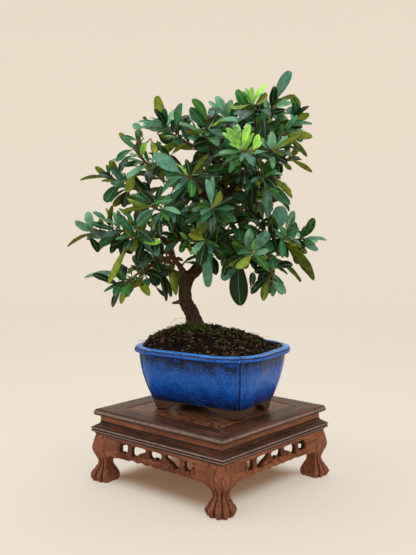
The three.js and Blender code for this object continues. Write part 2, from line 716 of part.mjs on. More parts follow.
    ],
  },
  top_tip: {
    twig: [[64, 12, 423], [67, 12, 440], [72, 13, 450]],
    radii: [2.2, 1],
    lean: -1,
    extra: 3,
    leaves: [
      [1, 21, 41, 13, 'slate'], [0.9, 28, 13, 6, 'teal'], [0.85, 23, 5, 7, 'mint'],
      [0.7, 21, -16, 11, 'mint'], [0.5, 2, -10, 8, 'olive'], [0.55, -11, 26, 7, 'mint'],
      [0.8, 3, 24, 10, 'dark'], [0.65, 15, -2, 8, 'dark'], [0.4, -13, 4, 7, 'teal'],
    ],
  },
  top_left_2: {
    twig: [[60, 12, 413], [52, 0, 423], [47, -12, 438], [44, -20, 447]],
    radii: [1.8, 0.9],
    lean: -1,
    extra: 4,
    leaves: [
      [0.65, -17, 24, 8, 'olive'], [1, 0, 22, 6, 'bright'], [0.9, 16, 27, 6, 'bright'],
      [0.85, -7, 24, 6, 'bright'], [0.8, 15, 21, 6, 'olive'], [0.7, -20, 28, 11, 'green'],
      [0.5, -17, 5, 10, 'teal'], [0.55, 8, 20, 8, 'dark'],
    ],
  },
  top_mid: {
    twig: [[37, 10, 395], [28, 8, 412], [21, 6, 421], [17, 4, 434]],
    radii: [2.2, 1],
    lean: -1,
    extra: 4,
    leaves: [
      [0.9, -23, 23, 7, 'mint'], [0.75, 10, 27, 11, 'green'], [0.85, -22, 6, 12, 'teal'],
      [0.55, 15, 16, 8, 'dark'], [0.7, -39, -1, 6, 'mint'], [0.45, 0, -2, 8, 'teal'],
      [0.6, -14, 34, 8, 'teal'], [0.4, -21, -2, 10, 'dark'],
    ],
  },
  top_mid_left: {
    twig: [[-1, 4, 384], [-4, -16, 402], [-6, -34, 415], [-5, -42, 423]],
    radii: [2.2, 1],
    lean: -1,
    extra: 4,
    leaves: [
      [0.9, -20, 21, 13, 'teal'], [1, -12, 22, 6, 'dark'], [0.8, -25, 0, 7, 'olive'],
      [0.85, 8, 24, 8, 'dark'], [0.65, 16, 14, 8, 'teal'], [0.55, -17, -7, 11, 'dark'],
      [0.5, 14, -10, 11, 'dark'], [0.4, -13, -8, 10, 'teal'], [0.7, -11, 19, 8, 'dark'],
    ],
  },
  back_left: {
    twig: [[-1, 12, 293], [-17, 40, 304], [-40, 64, 316], [-60, 84, 326]],
    radii: [2.6, 1],
    lean: 1,
    extra: 12,
    leaves: [],
  },
  back_right: {
    twig: [[10, 13, 321], [30, 40, 327], [53, 64, 332], [75, 84, 337]],
    radii: [2.6, 1],
    lean: 1,
    extra: 12,
    leaves: [],
  },
  back_up: {
    twig: [[28, 6, 351], [21, 36, 376], [12, 58, 399], [2, 74, 417]],
    radii: [2.6, 1],
    lean: 1,
    extra: 12,
    leaves: [],
  },
  back_top: {
    twig: [[59, 13, 406], [61, 36, 422], [62, 54, 440]],
    radii: [2.2, 1],
    lean: 1,
    extra: 11,
    leaves: [],
  },
  back_mid: {
    twig: [[17, 10, 337], [5, 42, 349], [-7, 70, 362], [-18, 94, 375]],
    radii: [2.6, 1],
    lean: 1,
    extra: 12,
    leaves: [],
  },
  back_low: {
    twig: [[1, 12, 289], [13, 40, 282], [28, 66, 276]],
    radii: [2.4, 1],
    lean: 1,
    extra: 11,
    leaves: [],
  },
  back_left_high: {
    twig: [[-10, 8, 342], [-27, 36, 349], [-50, 58, 356], [-68, 74, 364]],
    radii: [2.4, 1],
    lean: 1,
    extra: 11,
    leaves: [],
  },
};
const trunkSides = 8;
const limbSides = 4;
const twigSides = 4;
const barkWaviness = 0.06;
const ruleAttempts = 10;

// Soil mound: [share of the way from trunk to rim, share of the height from edge to peak]
const moundLevels = [[1, 0], [0.93, 0.27], [0.76, 0.55], [0.5, 0.82], [0.2, 1]];
const moundTilt = 0.05;
const crumbHeight = 2;

// Outline of the crown seen from the front, and the gaps through it, [right, up] and radius
const crownOutline = [
  [-147, 364], [-128, 385], [-111, 395], [-97, 421], [-73, 447], [-32, 450], [-1, 458], [27, 465],
  [58, 467], [85, 472], [103, 454], [110, 431], [110, 407], [104, 384], [92, 363], [97, 337], [105, 311],
  [129, 292], [120, 263], [101, 247], [87, 230], [60, 222], [40, 217], [16, 237], [-8, 244], [-19, 263],
  [-40, 256], [-52, 229], [-74, 227], [-100, 222], [-119, 222], [-134, 246], [-143, 262], [-157, 284],
  [-159, 305], [-133, 330], [-128, 348],
];
const crownGaps = [[-31, 388, 11], [-49, 400, 7], [-68, 354, 7], [-56, 346, 7], [-65, 328, 7]];
const gapMargin = 3;

// Everything that grew, in its own group, turned so that its front faces the viewer
const plant = new THREE.Group();
plant.rotation.z = frontTurn * degrees;
bonsai.add(plant);

// Rings round a path whose points carry a radius, with the section kept from twisting
function tubeRings(path, sideCount, grow = 0, waviness = 0) {
  const spots = path.map(([x, y, z]) => vector(x, y, z));
  const rings = [];
  let across = null;
  spots.forEach((spot, k) => {
    const next = spots[Math.min(k + 1, spots.length - 1)];
    const ahead = next.clone().sub(spots[Math.max(k - 1, 0)]).normalize();
    if (across === null) across = Math.abs(ahead.x) < 0.9 ? vector(1, 0, 0) : vector(0, 0, 1);
    across = across.clone().addScaledVector(ahead, -across.dot(ahead)).normalize();
    const beside = ahead.clone().cross(across);
    const radius = path[k][3] + grow;
    const ring = [];
    for (let i = 0; i < sideCount; i += 1) {
      const turn = (i / sideCount) * 2 * Math.PI;
      const bark = 1 + waviness * Math.sin(3 * turn + 0.9 * k) + waviness * (chance(k * 31 + i) - 0.5);
      const point = spot.clone().addScaledVector(across, Math.cos(turn) * radius * bark);
      ring.push(point.addScaledVector(beside, Math.sin(turn) * radius * bark));
    }
    rings.push(ring);
  });
  return rings;
}

// A limb's points with one more between each two, on a smooth curve
function smoothed(limb) {
  const spots = limb.map(([x, y, z]) => vector(x, y, z));
  const curve = new THREE.CatmullRomCurve3(spots, false, 'catmullrom', 0.5);
  const path = [];
  for (let k = 0; k <= 2 * (limb.length - 1); k += 1) {
    const spot = curve.getPoint(k / (2 * (limb.length - 1)));
    const [low, high] = [limb[Math.floor(k / 2)], limb[Math.ceil(k / 2)]];
    path.push([spot.x, spot.y, spot.z, (low[3] + high[3]) / 2]);
  }
  return path;
}

function woodSolid(grow) {
  const solids = Object.entries(limbs).map(([name, limb]) => {
    const rings = name === 'trunk'
      ? tubeRings(smoothed(limb), trunkSides, grow, barkWaviness)
      : tubeRings(limb, limbSides, grow);
    return toSolid(loft(rings));
  });
  return wasm.Manifold.union(solids);
}

const wood = woodSolid(0);
const woodClearance = woodSolid(gap);
addPiece(plant, 'trunk_and_limbs', toGeometry(wood), bark);

// Soil: fills the pot to a crumbly mound that peaks at the trunk, with a plain hole for it
const plantInPot = new THREE.Matrix4().makeRotationZ((frontTurn - potTurn) * degrees);
plantInPot.setPosition(vector(-potCentre[0], -potCentre[1], -standTop - gap)
  .applyAxisAngle(vector(0, 0, 1), -potTurn * degrees));

function soilSolid() {
  const peak = vector(...trunkCentre, 0).applyMatrix4(plantInPot);
  const rightward = vector(1, 0, 0).transformDirection(plantInPot);
  const rings = [
    bodyRing(potFloor + screenThickness + 2 * gap, potWall + gap),
    ...cavityRings(gap).slice(1),
    rimRing(lipInset + gap, lipDrop),
  ];
  const lip = rimRing(lipInset + gap, 0);
  moundLevels.forEach(([share, height], level) => {
    rings.push(lip.map((spot, i) => {
      const point = vector(mix(peak.x, spot.x, share), mix(peak.y, spot.y, share), 0);
      const tilt = moundTilt * (point.clone().sub(peak)).dot(rightward);
      const crumb = share < 1 ? crumbHeight * (chance(level * 57 + i * 3) - 0.5) : 0;
      point.z = mix(soilEdge, soilPeak, height) - tilt * share * (share < 1 ? 1 : 0) + crumb;
      return point;
    }));
  });
  const trunkHole = toSolid(loft(tubeRings(smoothed(limbs.trunk), trunkSides, gap, barkWaviness))
    .applyMatrix4(plantInPot));
  return toSolid(loft(rings)).subtract(trunkHole);
}
addPiece(pot, 'soil', toGeometry(soilSolid()), earth);

// Leaf blade: an arched wedge with a rounded end, flat above and keeled below, its foot sunk in the
// twig. Stations are [place along the blade, share of the width].
const bladeStations = [[0, 0], [0.48, 0.96], [0.8, 0.82], [1, 0]];
function stationAt(place) {
  const k = bladeStations.findIndex(([at], index) => index > 0 && place <= at);
  const [[low, lowShare], [high, highShare]] = [bladeStations[k - 1], bladeStations[k]];
  return mix(lowShare, highShare, (place - low) / (high - low));
}
function bladeSolid({ base, tip, facing, width }, grow = 0, from = 0) {
  const axis = tip.clone().sub(base);
  const length = axis.length();
  axis.normalize();
  const side = axis.clone().cross(facing).normalize();
  const rise = side.clone().cross(axis);
  const rings = [from, bladeStations[1][0], bladeStations[2][0]].map((place) => {
    const centre = base.clone().addScaledVector(axis, length * place);
    centre.addScaledVector(rise, bladeArch * length * 4 * place * (1 - place));
    const half = Math.max(stalkHalf, (width / 2) * stationAt(place)) + grow;
    const thick = bladeThickness / 2 + grow;
    const edge = centre.clone().addScaledVector(rise, thick);
    return [
      edge.clone().addScaledVector(side, half),
      centre.clone().addScaledVector(rise, -thick),
      edge.clone().addScaledVector(side, -half),
    ];
  });
  if (from === 0) rings[0] = [base.clone().addScaledVector(axis, -footDepth)];
  return toSolid(loft([...rings, [tip.clone().addScaledVector(axis, grow)]]));
}

// The point a share of the way along a twig
function alongTwig(twig, share) {
  const spots = twig.map(([x, y, z]) => vector(x, y, z));
  const lengths = spots.slice(1).map((spot, k) => spot.distanceTo(spots[k]));
  let left = share * lengths.reduce((sum, length) => sum + length, 0);
  let k = 0;
  while (k < lengths.length - 1 && left > lengths[k]) {
    left -= lengths[k];
    k += 1;
  }
  return spots[k].clone().lerp(spots[k + 1], left / lengths[k]);
}

// A blade read from the front: what its seen length lacks goes into depth, and its seen width
// sets how far it turns from the viewer. An olive blade shows its underside.
const viewer = vector(0, -1, 0);
const nudges = [0, 5, -5, 10, -10, 15, -15, 21, -21, 27, -27];
function bladeAsSeen(shoot, [place, right, up, seen, tone], nudge) {
  const base = alongTwig(shoot.twig, Math.min(lastFoot, place));
  const apparent = Math.hypot(right, up);
  const length = Math.max(apparent, Math.min(shortestBlade, bladeSlimness * seen));
  const depth = shoot.lean * Math.sqrt(length ** 2 - apparent ** 2) + nudge;
  const tip = base.clone().add(vector(right, depth, up));
  const width = Math.max(seen, slimmestBlade * length);
  const axis = tip.clone().sub(base).normalize();
  const towards = viewer.clone().addScaledVector(axis, -viewer.dot(axis)).normalize();
  const upward = axis.clone().cross(towards);
  if (upward.z < 0) upward.negate();
  const share = seen / width;
  const facing = towards.multiplyScalar(tone === 'olive' ? -share : share);
  facing.addScaledVector(upward, Math.sqrt(Math.max(0, 1 - share ** 2)));
  return { base, tip, facing, width };
}

// A blade placed by rule: spiralling round the twig and reaching out and up
const rule = {
  start: 0.3,
  firstTurn: 50,
  nextTurn: 137.5,
  retryTurn: 67,
  spread: [75, 30],
  spreadDraw: 25,
  rise: 0.15,
  length: [24, 36],
  slimness: [0.28, 0.36],
};
function bladeByRule(shoot, order, index, attempt) {
  const draw = (step) => chance(order * 97 + index * 13 + attempt * 7 + step);
  const place = mix(rule.start, 1, (index + 0.6) / shoot.extra);
  const base = alongTwig(shoot.twig, Math.min(lastFoot, place));
  const ahead = alongTwig(shoot.twig, 1).sub(alongTwig(shoot.twig, 0)).normalize();
  const turn = (order * rule.firstTurn + index * rule.nextTurn + attempt * rule.retryTurn) * degrees;
  const outward = vector(Math.cos(turn), 0, Math.sin(turn));
  outward.y = -(outward.x * ahead.x + outward.z * ahead.z) / (Math.abs(ahead.y) > 0.3 ? ahead.y : 1);
  outward.normalize();
  const spread = (mix(...rule.spread, place) + rule.spreadDraw * draw(1)) * degrees;
  const length = mix(...rule.length, draw(2));
  const way = ahead.multiplyScalar(Math.cos(spread)).addScaledVector(outward, Math.sin(spread));
  way.z += rule.rise;
  const tip = base.clone().addScaledVector(way.normalize(), length);
  const facing = vector(0.6 * (draw(3) - 0.5), shoot.lean * 0.5, 1).normalize();
  return { base, tip, facing, width: length * mix(...rule.slimness, draw(4)) };
}

// Blades placed by rule stay inside the crown's outline and out of the gaps one can see through
function insideOutline(x, z) {
  let inside = false;
  crownOutline.forEach(([x1, z1], k) => {
    const [x2, z2] = crownOutline[(k + 1) % crownOutline.length];
    if (z1 > z !== z2 > z && x < x1 + ((x2 - x1) * (z - z1)) / (z2 - z1)) inside = !inside;
  });
  return inside;
}
function inCrown({ base, tip }) {
  const spots = [0.5, 0.75, 1].map((share) => base.clone().lerp(tip, share));
  const open = ([x, z, radius]) => spots.some(
    (spot) => Math.hypot(spot.x - x, spot.z - z) < radius + gapMargin,
  );
  return insideOutline(tip.x, tip.z) && !crownGaps.some(open);
}

const boxesMeet = (a, b) => [0, 1, 2].every((k) => a.min[k] < b.max[k] && b.min[k] < a.max[k]);

const twigSolids = {};
for (const [name, { twig, radii }] of Object.entries(shoots)) {
  const path = twig.map((spot, k) => [...spot, mix(radii[0], radii[1], k / (twig.length - 1))]);
  twigSolids[name] = {
    solid: toSolid(loft(tubeRings(path, twigSides))),
    wide: toSolid(loft(tubeRings(path, twigSides, 2 * gap))),
  };
  twigSolids[name].box = twigSolids[name].wide.boundingBox();
}

const placed = [];
const woodBox = woodClearance.boundingBox();

function isClear(blade, name) {
  const whole = bladeSolid(blade, leafClearance);
  const outer = bladeSolid(blade, leafClearance, footShare);
  const box = whole.boundingBox();
  if (boxesMeet(box, woodBox) && !outer.intersect(woodClearance).isEmpty()) return null;
  for (const [other, { wide, box: twigBox }] of Object.entries(twigSolids)) {
    if (other !== name && boxesMeet(box, twigBox) && !whole.intersect(wide).isEmpty()) return null;
  }
  for (const neighbour of placed) {
    if (!boxesMeet(box, neighbour.box)) continue;
    const pair = neighbour.name === name ? [outer, neighbour.outer] : [whole, neighbour.whole];
    if (!pair[0].intersect(pair[1]).isEmpty()) return null;
  }
  return { name, whole, outer, box, solid: bladeSolid(blade) };
}

Object.entries(shoots).forEach(([name, shoot]) => {
  for (const leaf of shoot.leaves) {
    for (const nudge of nudges) {
      const found = isClear(bladeAsSeen(shoot, leaf, nudge), name);
      if (found) {
        placed.push(found);
        break;
      }
    }
  }
});
Object.entries(shoots).forEach(([name, shoot], order) => {
  for (let index = 0; index < shoot.extra; index += 1) {
    for (let attempt = 0; attempt < ruleAttempts; attempt += 1) {
      const blade = bladeByRule(shoot, order, index, attempt);
      const found = inCrown(blade) ? isClear(blade, name) : null;
      if (found) {
        placed.push(found);
        break;
      }
    }
  }
});

for (const name of Object.keys(shoots)) {
  const leaves = placed.filter((leaf) => leaf.name === name).map((leaf) => leaf.solid);
  const spray = wasm.Manifold.union([twigSolids[name].solid, ...leaves]).subtract(woodClearance);
  const bodies = spray.decompose().sort((a, b) => b.volume() - a.volume());
  addPiece(plant, `spray_${name}`, toGeometry(bodies[0]), foliage);
}

// The origin is the middle of the footprint, on the surface that the feet stand on
const box = new THREE.Box3().setFromObject(bonsai, true);
const middle = box.getCenter(vector(0, 0, 0));
bonsai.position.set(-middle.x, -middle.y, -box.min.z);

export default bonsai;
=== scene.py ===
# Looks of a firethorn bonsai in a glazed pot on a carved wooden stand.
# Lengths below are millimetres in three frames: the stand's, with its axis at the origin and its
# sides along X and Y, the pot's, turned on the stand, and the plant's, whose front is -Y.
from collections import namedtuple
from math import atan2, ceil, cos, dist, exp, floor, hypot, pi, radians, sin, sqrt

import bmesh
import bpy
import numpy as np
from mathutils import Matrix, Vector, noise
from mathutils.bvhtree import BVHTree
from mathutils.geometry import tessellate_polygon


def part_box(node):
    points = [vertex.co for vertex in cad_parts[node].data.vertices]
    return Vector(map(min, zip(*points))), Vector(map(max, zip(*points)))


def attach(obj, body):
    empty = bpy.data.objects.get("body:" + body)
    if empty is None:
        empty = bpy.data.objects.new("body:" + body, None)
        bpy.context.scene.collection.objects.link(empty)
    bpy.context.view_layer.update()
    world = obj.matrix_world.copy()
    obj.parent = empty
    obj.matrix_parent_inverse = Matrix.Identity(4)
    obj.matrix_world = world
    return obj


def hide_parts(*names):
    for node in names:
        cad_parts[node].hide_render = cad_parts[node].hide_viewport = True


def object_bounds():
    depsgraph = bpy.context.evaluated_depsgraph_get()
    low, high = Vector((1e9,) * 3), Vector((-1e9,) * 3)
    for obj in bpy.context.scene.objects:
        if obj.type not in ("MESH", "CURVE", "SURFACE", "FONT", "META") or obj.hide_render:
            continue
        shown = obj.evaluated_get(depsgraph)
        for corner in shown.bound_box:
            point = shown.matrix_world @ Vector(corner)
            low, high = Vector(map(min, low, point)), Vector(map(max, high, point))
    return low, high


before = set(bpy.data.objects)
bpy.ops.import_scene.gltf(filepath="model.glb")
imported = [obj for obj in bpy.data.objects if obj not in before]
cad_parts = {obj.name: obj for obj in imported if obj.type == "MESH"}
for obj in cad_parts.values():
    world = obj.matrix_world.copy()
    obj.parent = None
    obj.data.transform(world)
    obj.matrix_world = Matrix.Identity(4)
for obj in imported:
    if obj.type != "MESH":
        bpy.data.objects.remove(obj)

cad_low, cad_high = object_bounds()

MM = 0.001
GAP = 0.3

# Stand
STAND_HALF = 100
STAND_TOP = 87.2
BOARD_BOTTOM = 79.6
WAIST_BOTTOM = 71.5
WAIST_FACE = STAND_HALF - 6
WAIST_THICKNESS = 12
MOULDING_BOTTOM = 57.6
RAIL_WIDTH = 27.4
TONGUE_REACH = 4.5
TONGUE_BOTTOM = 81
TONGUE_TOP = 83.6
LEG_WIDTH = 19
LEG_TOP = MOULDING_BOTTOM - GAP
LEG_FACE = 98.4
SIDES = ('front', 'right', 'back', 'left')

# Pot
POT_CENTRE = (5.3, -3.8)
POT_TURN = 8.7
FOOT_HEIGHT = 11.7
POT_HEIGHT = 77.3
RIM_HALF = (86.5, 72.7)
RIM_CORNER = 51
RIM_HEIGHT = 7.6
RIM_OVERHANG = 6
RIM_FLAT = 8
BASE_HALF = (62.1, 42.5)
BASE_CORNER = 12
POT_WALL = 5.5
POT_FLOOR = FOOT_HEIGHT + 6
CORNER_RIB = 1.1
DRAIN_RADIUS = 7
DRAIN_OFFSET = 30

# Plant
FRONT_TURN = 40.3
TRUNK_CENTRE = (-19, 3)
SOIL_PEAK = 186.6 - STAND_TOP
SOIL_EDGE = POT_HEIGHT - 2
BLADE_THICKNESS = 1.4
BLADE_ARCH = 0.07
STALK_HALF = 0.6
FOOT_DEPTH = 1
FOOT_SHARE = 0.06
LAST_FOOT = 0.94
LEAF_CLEARANCE = GAP / 2 + 0.05
SHORTEST_BLADE = 30
BLADE_SLIMNESS = 3.1
SLIMMEST_BLADE = 0.26

panel_low, panel_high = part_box('top_panel')
stand_axis = (panel_low + panel_high) / 2
STAND = Matrix.Translation((stand_axis.x, stand_axis.y, 0)) @ Matrix.Scale(MM, 4)
POT = (
    STAND
    @ Matrix.Translation((POT_CENTRE[0], POT_CENTRE[1], STAND_TOP + GAP))
    @ Matrix.Rotation(radians(POT_TURN), 4, 'Z')
)
PLANT = STAND @ Matrix.Rotation(radians(FRONT_TURN), 4, 'Z')
TREE_TO_POT = POT.inverted() @ PLANT


def mix(low, high, share):
    return low + (high - low) * share


def chance(number):
    """A draw from 0 to 1 that is always the same for a number."""
    value = sin(number * 12.9898) * 43758.5453
    return value - floor(value)


def srgb(red, green, blue):
    """A colour on the 0 to 255 scale as linear values."""
    def linear(level):
        level /= 255
        return level / 12.92 if level <= 0.04045 else ((level + 0.055) / 1.055) ** 2.4
    return (linear(red), linear(green), linear(blue), 1)


def new_object(name, data):
    made = bpy.data.objects.new(name, data)
    bpy.context.scene.collection.objects.link(made)
    return made


# Camera
CAMERA_TURN = 40.27
CAMERA_PITCH = 5.27
CAMERA_ROLL = 0.23
CAMERA_PLACE = (649.98, -774.03, 337.57)
FOCAL_PIXELS = 849.15
CAMERA_CLIP = (0.01, 50)
PHOTO_HEIGHT = 555


def add_camera():
    turn = radians(CAMERA_TURN)
    pitch = radians(CAMERA_PITCH)
    roll = radians(CAMERA_ROLL)
    back = Vector((sin(turn) * cos(pitch), -cos(turn) * cos(pitch), sin(pitch)))
    level = Vector((cos(turn), sin(turn), 0))
    upright = back.cross(level)
    across = cos(roll) * level + sin(roll) * upright
    up = cos(roll) * upright - sin(roll) * level
    data = bpy.data.cameras.new('camera')
    data.lens = data.sensor_width * FOCAL_PIXELS / PHOTO_HEIGHT
    camera = new_object('camera', data)
    placing = Matrix((across, up, back)).transposed().to_4x4()
    placing.translation = STAND @ Vector(CAMERA_PLACE)
    camera.matrix_world = placing
    data.clip_start, data.clip_end = CAMERA_CLIP
    bpy.context.scene.camera = camera


# Studio: a round sweep that runs up into a wall on all sides, and soft lights
STUDIO_FLOOR = 2200
STUDIO_BEND = 700
STUDIO_WALL = 3000
STUDIO_RINGS = (1, 300, 800, STUDIO_FLOOR)
BEND_STEPS = 12
STUDIO_TURNS = 96
BACKDROP = srgb(140, 130, 118)
GLOW_COLOUR = srgb(184, 176, 164)
GLOW = (1, 1.27)
GLOW_REACH = (400, 2400)
# Painted shadow: under the stand the floor's glow turns a warm dark colour, a little off to the left
PAINTED_SHADOW_COLOUR = srgb(110, 80, 56)
SHADE_REACH = (64, 102)
SHADE_SHIFT = (-11, -1)


def add_studio():
    profile = [(radius, 0) for radius in STUDIO_RINGS]
    for step in range(1, BEND_STEPS + 1):
        angle = radians(90 * step / BEND_STEPS)
        profile.append((
            STUDIO_FLOOR + STUDIO_BEND * sin(angle), STUDIO_BEND * (1 - cos(angle)),
        ))
    profile.append((STUDIO_FLOOR + STUDIO_BEND, STUDIO_WALL))
    turns = [2 * pi * i / STUDIO_TURNS for i in range(STUDIO_TURNS)]
    rings = [
        [Vector((radius * cos(turn), radius * sin(turn), z)) for turn in turns]
        for radius, z in profile
    ]
    points, faces = skin(rings, closed=False)
    faces = [face[::-1] for face in faces] + [tuple(range(STUDIO_TURNS))]
    data = mesh_of('studio', points, faces, 1)
    data.transform(STAND)
    data.shade_smooth()
    studio = new_object('studio', data)
    look, tree, shader = new_material('studio', 1, Specular_IOR_Level=0, Base_Color=BACKDROP)
    place = coordinates(tree)
    flat = tree.nodes.new('ShaderNodeVectorMath')
    flat.operation = 'MULTIPLY'
    flat.inputs[1].default_value = (1, 1, 0)
    put(flat.inputs[0], place)
    size = tree.nodes.new('ShaderNodeVectorMath')
    size.operation = 'LENGTH'
    put(size.inputs[0], flat.outputs[0])
    glow = reach(size.outputs['Value'], *GLOW_REACH, *GLOW)
    put(shader.inputs['Emission Strength'], glow)
    # Painted shadow: the glow's colour fades to the warm shadow colour under the stand
    open_floor = reach(off_axis(tree, SHADE_SHIFT), *SHADE_REACH)
    put(shader.inputs['Emission Color'], blend(open_floor, PAINTED_SHADOW_COLOUR, GLOW_COLOUR))
    data.materials.append(look)


# Lights: [name, place, size, power in watts, colour], all aimed at the crown
LIGHTS = [
    ('overhead', (-150, 120, 1500), 1000, 23, (0.82, 0.93, 1)),
    ('left_front', (-900, -1500, 900), 1200, 10.5, (1, 0.97, 0.93)),
    ('right_front', (1500, -300, 700), 900, 8.5, (1, 0.96, 0.92)),
]
LIGHT_AIM = (0, 0, 230)
WORLD_STRENGTH = 0.42
WORLD_COLOUR = (1, 0.99, 0.97, 1)


def add_lights():
    for name, place, size, power, colour in LIGHTS:
        data = bpy.data.lights.new(name, 'AREA')
        data.size = size * MM
        data.energy = power
        data.color = colour
        light = new_object(name, data)
        light.location = STAND @ Vector(place)
        aim = Vector(LIGHT_AIM) - Vector(place)
        light.rotation_euler = aim.to_track_quat('-Z', 'Y').to_euler()
    world = bpy.data.worlds.new('world')
    world.use_nodes = True
    world.node_tree.nodes['Background'].inputs['Color'].default_value = WORLD_COLOUR
    world.node_tree.nodes['Background'].inputs['Strength'].default_value = WORLD_STRENGTH
    bpy.context.scene.world = world
    bpy.context.scene.view_settings.view_transform = 'Standard'


# Material helpers
def new_material(name, roughness=0.5, **levels):
    material = bpy.data.materials.new(name)
    material.use_nodes = True
    shader = material.node_tree.nodes['Principled BSDF']
    shader.inputs['Roughness'].default_value = roughness
    for label, level in levels.items():
        shader.inputs[label.replace('_', ' ')].default_value = level
    return material, material.node_tree, shader


def is_socket(value):
    return isinstance(value, bpy.types.NodeSocket)


def new_node(kind, *values):
    """A node in the tree that the first socket among the values belongs to."""
    tree = next(value.id_data for value in values if is_socket(value))
    return tree.nodes.new(f'ShaderNode{kind}')


def put(socket, value):
    """Links an output to a socket, or sets the socket's own value."""
    if is_socket(value):
        socket.id_data.links.new(value, socket)
    elif value is not None:
        socket.default_value = value


def coordinates(tree, stretch=(1, 1, 1)):
    """Places on the object in millimetres, divided by the stretch along each axis."""
    place = tree.nodes.new('ShaderNodeTexCoord').outputs['Object']
    mapping = tree.nodes.new('ShaderNodeMapping')
    mapping.inputs['Scale'].default_value = [1 / (MM * factor) for factor in stretch]
    put(mapping.inputs['Vector'], place)
    return mapping.outputs['Vector']


def noise_of(vector, size, detail=3, roughness=0.55, distortion=0):
    texture = new_node('TexNoise', vector)
    texture.inputs['Scale'].default_value = 1 / size
    texture.inputs['Detail'].default_value = detail
    texture.inputs['Roughness'].default_value = roughness
    texture.inputs['Distortion'].default_value = distortion
    put(texture.inputs['Vector'], vector)
    return texture.outputs['Fac']


def cells_of(vector, size):
    texture = new_node('TexVoronoi', vector)
    texture.inputs['Scale'].default_value = 1 / size
    put(texture.inputs['Vector'], vector)
    return texture.outputs['Distance']


def reach(value, low, high, start=0, end=1):
    """Maps a value from the span low to high onto start to end, and holds it there."""
    node = new_node('MapRange', value)
    node.interpolation_type = 'SMOOTHSTEP'
    put(node.inputs['Value'], value)
    for label, level in (('From Min', low), ('From Max', high), ('To Min', start), ('To Max', end)):
        node.inputs[label].default_value = level
    return node.outputs['Result']


def blend(share, first, second, kind='MIX'):
    node = new_node('Mix', share, first, second)
    node.data_type = 'RGBA'
    node.blend_type = kind
    put(node.inputs['Factor'], share)
    put(node.inputs[6], first)
    put(node.inputs[7], second)
    return node.outputs[2]


def ramp(value, stops):
    node = new_node('ValToRGB', value)
    node.color_ramp.interpolation = 'EASE'
    elements = node.color_ramp.elements
    while len(elements) < len(stops):
        elements.new(0.5)
    for element, (place, colour) in zip(elements, stops):
        element.position = place
        element.color = colour
    put(node.inputs['Fac'], value)
    return node.outputs['Color']


def maths(operation, first, second=None):
    node = new_node('Math', first)
    node.operation = operation
    put(node.inputs[0], first)
    put(node.inputs[1], second)
    return node.outputs[0]


def plus(first, second):
    return maths('ADD', first, second)


def minus(first, second):
    return maths('SUBTRACT', first, second)


def times(first, second):
    return maths('MULTIPLY', first, second)


def away_from(value, level):
    return maths('ABSOLUTE', minus(value, level))


def axis_of(vector, axis):
    node = new_node('SeparateXYZ', vector)
    put(node.inputs[0], vector)
    return node.outputs[axis]


def off_axis(tree, shift=(0, 0)):
    """How far out a place lies in a square about the stand's axis."""
    place = coordinates(tree)
    across, along = (away_from(axis_of(place, k), stand_axis[k] / MM + shift[k]) for k in (0, 1))
    return maths('MAXIMUM', across, along)


def attribute(tree, name, output='Fac'):
    node = tree.nodes.new('ShaderNodeAttribute')
    node.attribute_name = name
    return node.outputs[output]


def bump(shader, height, depth, strength=1):
    node = new_node('Bump', height)
    node.inputs['Strength'].default_value = strength
    node.inputs['Distance'].default_value = depth * MM
    put(node.inputs['Height'], height)
    put(shader.inputs['Normal'], node.outputs['Normal'])


def grainy(name, dark, pale, patched=None, rough=0.95, size=1.4, gloss=0.1, depth=0.4,
           grains=(0.35, 0.7), patches=(12, 0.3, 0.65, 0.5)):
    """A rough surface of dark and pale grains, with patches of a third colour or the dark one.

    Patches are [size, low and high end of the noise they start in, strength].
    """
    material, tree, shader = new_material(name, rough, Specular_IOR_Level=gloss)
    place = coordinates(tree)
    grain = noise_of(place, size, 4, 0.7)
    patch_size, low, high, strength = patches
    patch = noise_of(place, patch_size, 2)
    colour = blend(reach(grain, *grains), dark, pale)
    colour = blend(reach(patch, low, high, 0, strength), colour, patched or dark)
    put(shader.inputs['Base Color'], colour)
    bump(shader, grain, depth, 0.8)
    return material


# Painted shade, laid in grooves, gaps, under boards and in carved hollows
PAINTED_SHADE = srgb(20, 11, 8)


def figured_wood(name, grain, pale, mid, dark, roughness=0.42, figure=0, lines=()):
    """Hardwood whose fibres run along the grain axis, with pores, bands, painted shade in the carving and
    painted shade and sheen along lines.

    Lines are painted shade in the grooves and under boards and a painted sheen on the rounded lips, [height,
    half its width, colour, strength].
    """
    material, tree, shader = new_material(name, roughness, Specular_IOR_Level=0.18)
    stretch = [1, 1, 1]
    stretch[grain] = 14
    along = coordinates(tree, stretch)
    everywhere = coordinates(tree)
    bands = noise_of(along, 5, 4, 0.6, 0.6 + figure)
    fibres = noise_of(along, 0.55, 4, 0.65)
    pores = cells_of(along, 0.9)
    patches = noise_of(everywhere, 38, 2)
    colour = blend(reach(bands, 0.3, 0.7), dark, mid)
    colour = blend(reach(fibres, 0.45, 0.8, 0, 0.55), colour, pale)
    colour = blend(reach(pores, 0.2, 0, 0, 0.7), colour, dark)
    colour = blend(reach(patches, 0.35, 0.7, 0, 0.45), colour, dark)
    # Painted shade: the wood darkens where the carving lies deep
    carving = reach(attribute(tree, 'carving'), 0.1, 0.9, 0, 0.85)
    hollow_shade = [mix(*levels, 0.3) for levels in zip(PAINTED_SHADE, dark)]
    colour = blend(carving, colour, hollow_shade)
    height = axis_of(everywhere, 2)
    uneven = reach(noise_of(everywhere, 6, 3), 0.3, 0.6, 0.5, 1)
    # Painted shade in the grooves and painted sheen on the lips, in lines by height
    for level, width, paint, strength in lines:
        away = away_from(height, level)
        share = times(reach(away, width, width * 0.4, 0, strength), uneven)
        colour = blend(share, colour, paint)
    put(shader.inputs['Base Color'], colour)
    height = plus(fibres, reach(pores, 0, 0.25, 0, 0.8))
    bump(shader, height, 0.12, 0.6)
    rough = reach(bands, 0.2, 0.8, roughness + 0.12, roughness - 0.06)
    put(shader.inputs['Roughness'], rough)
    return material


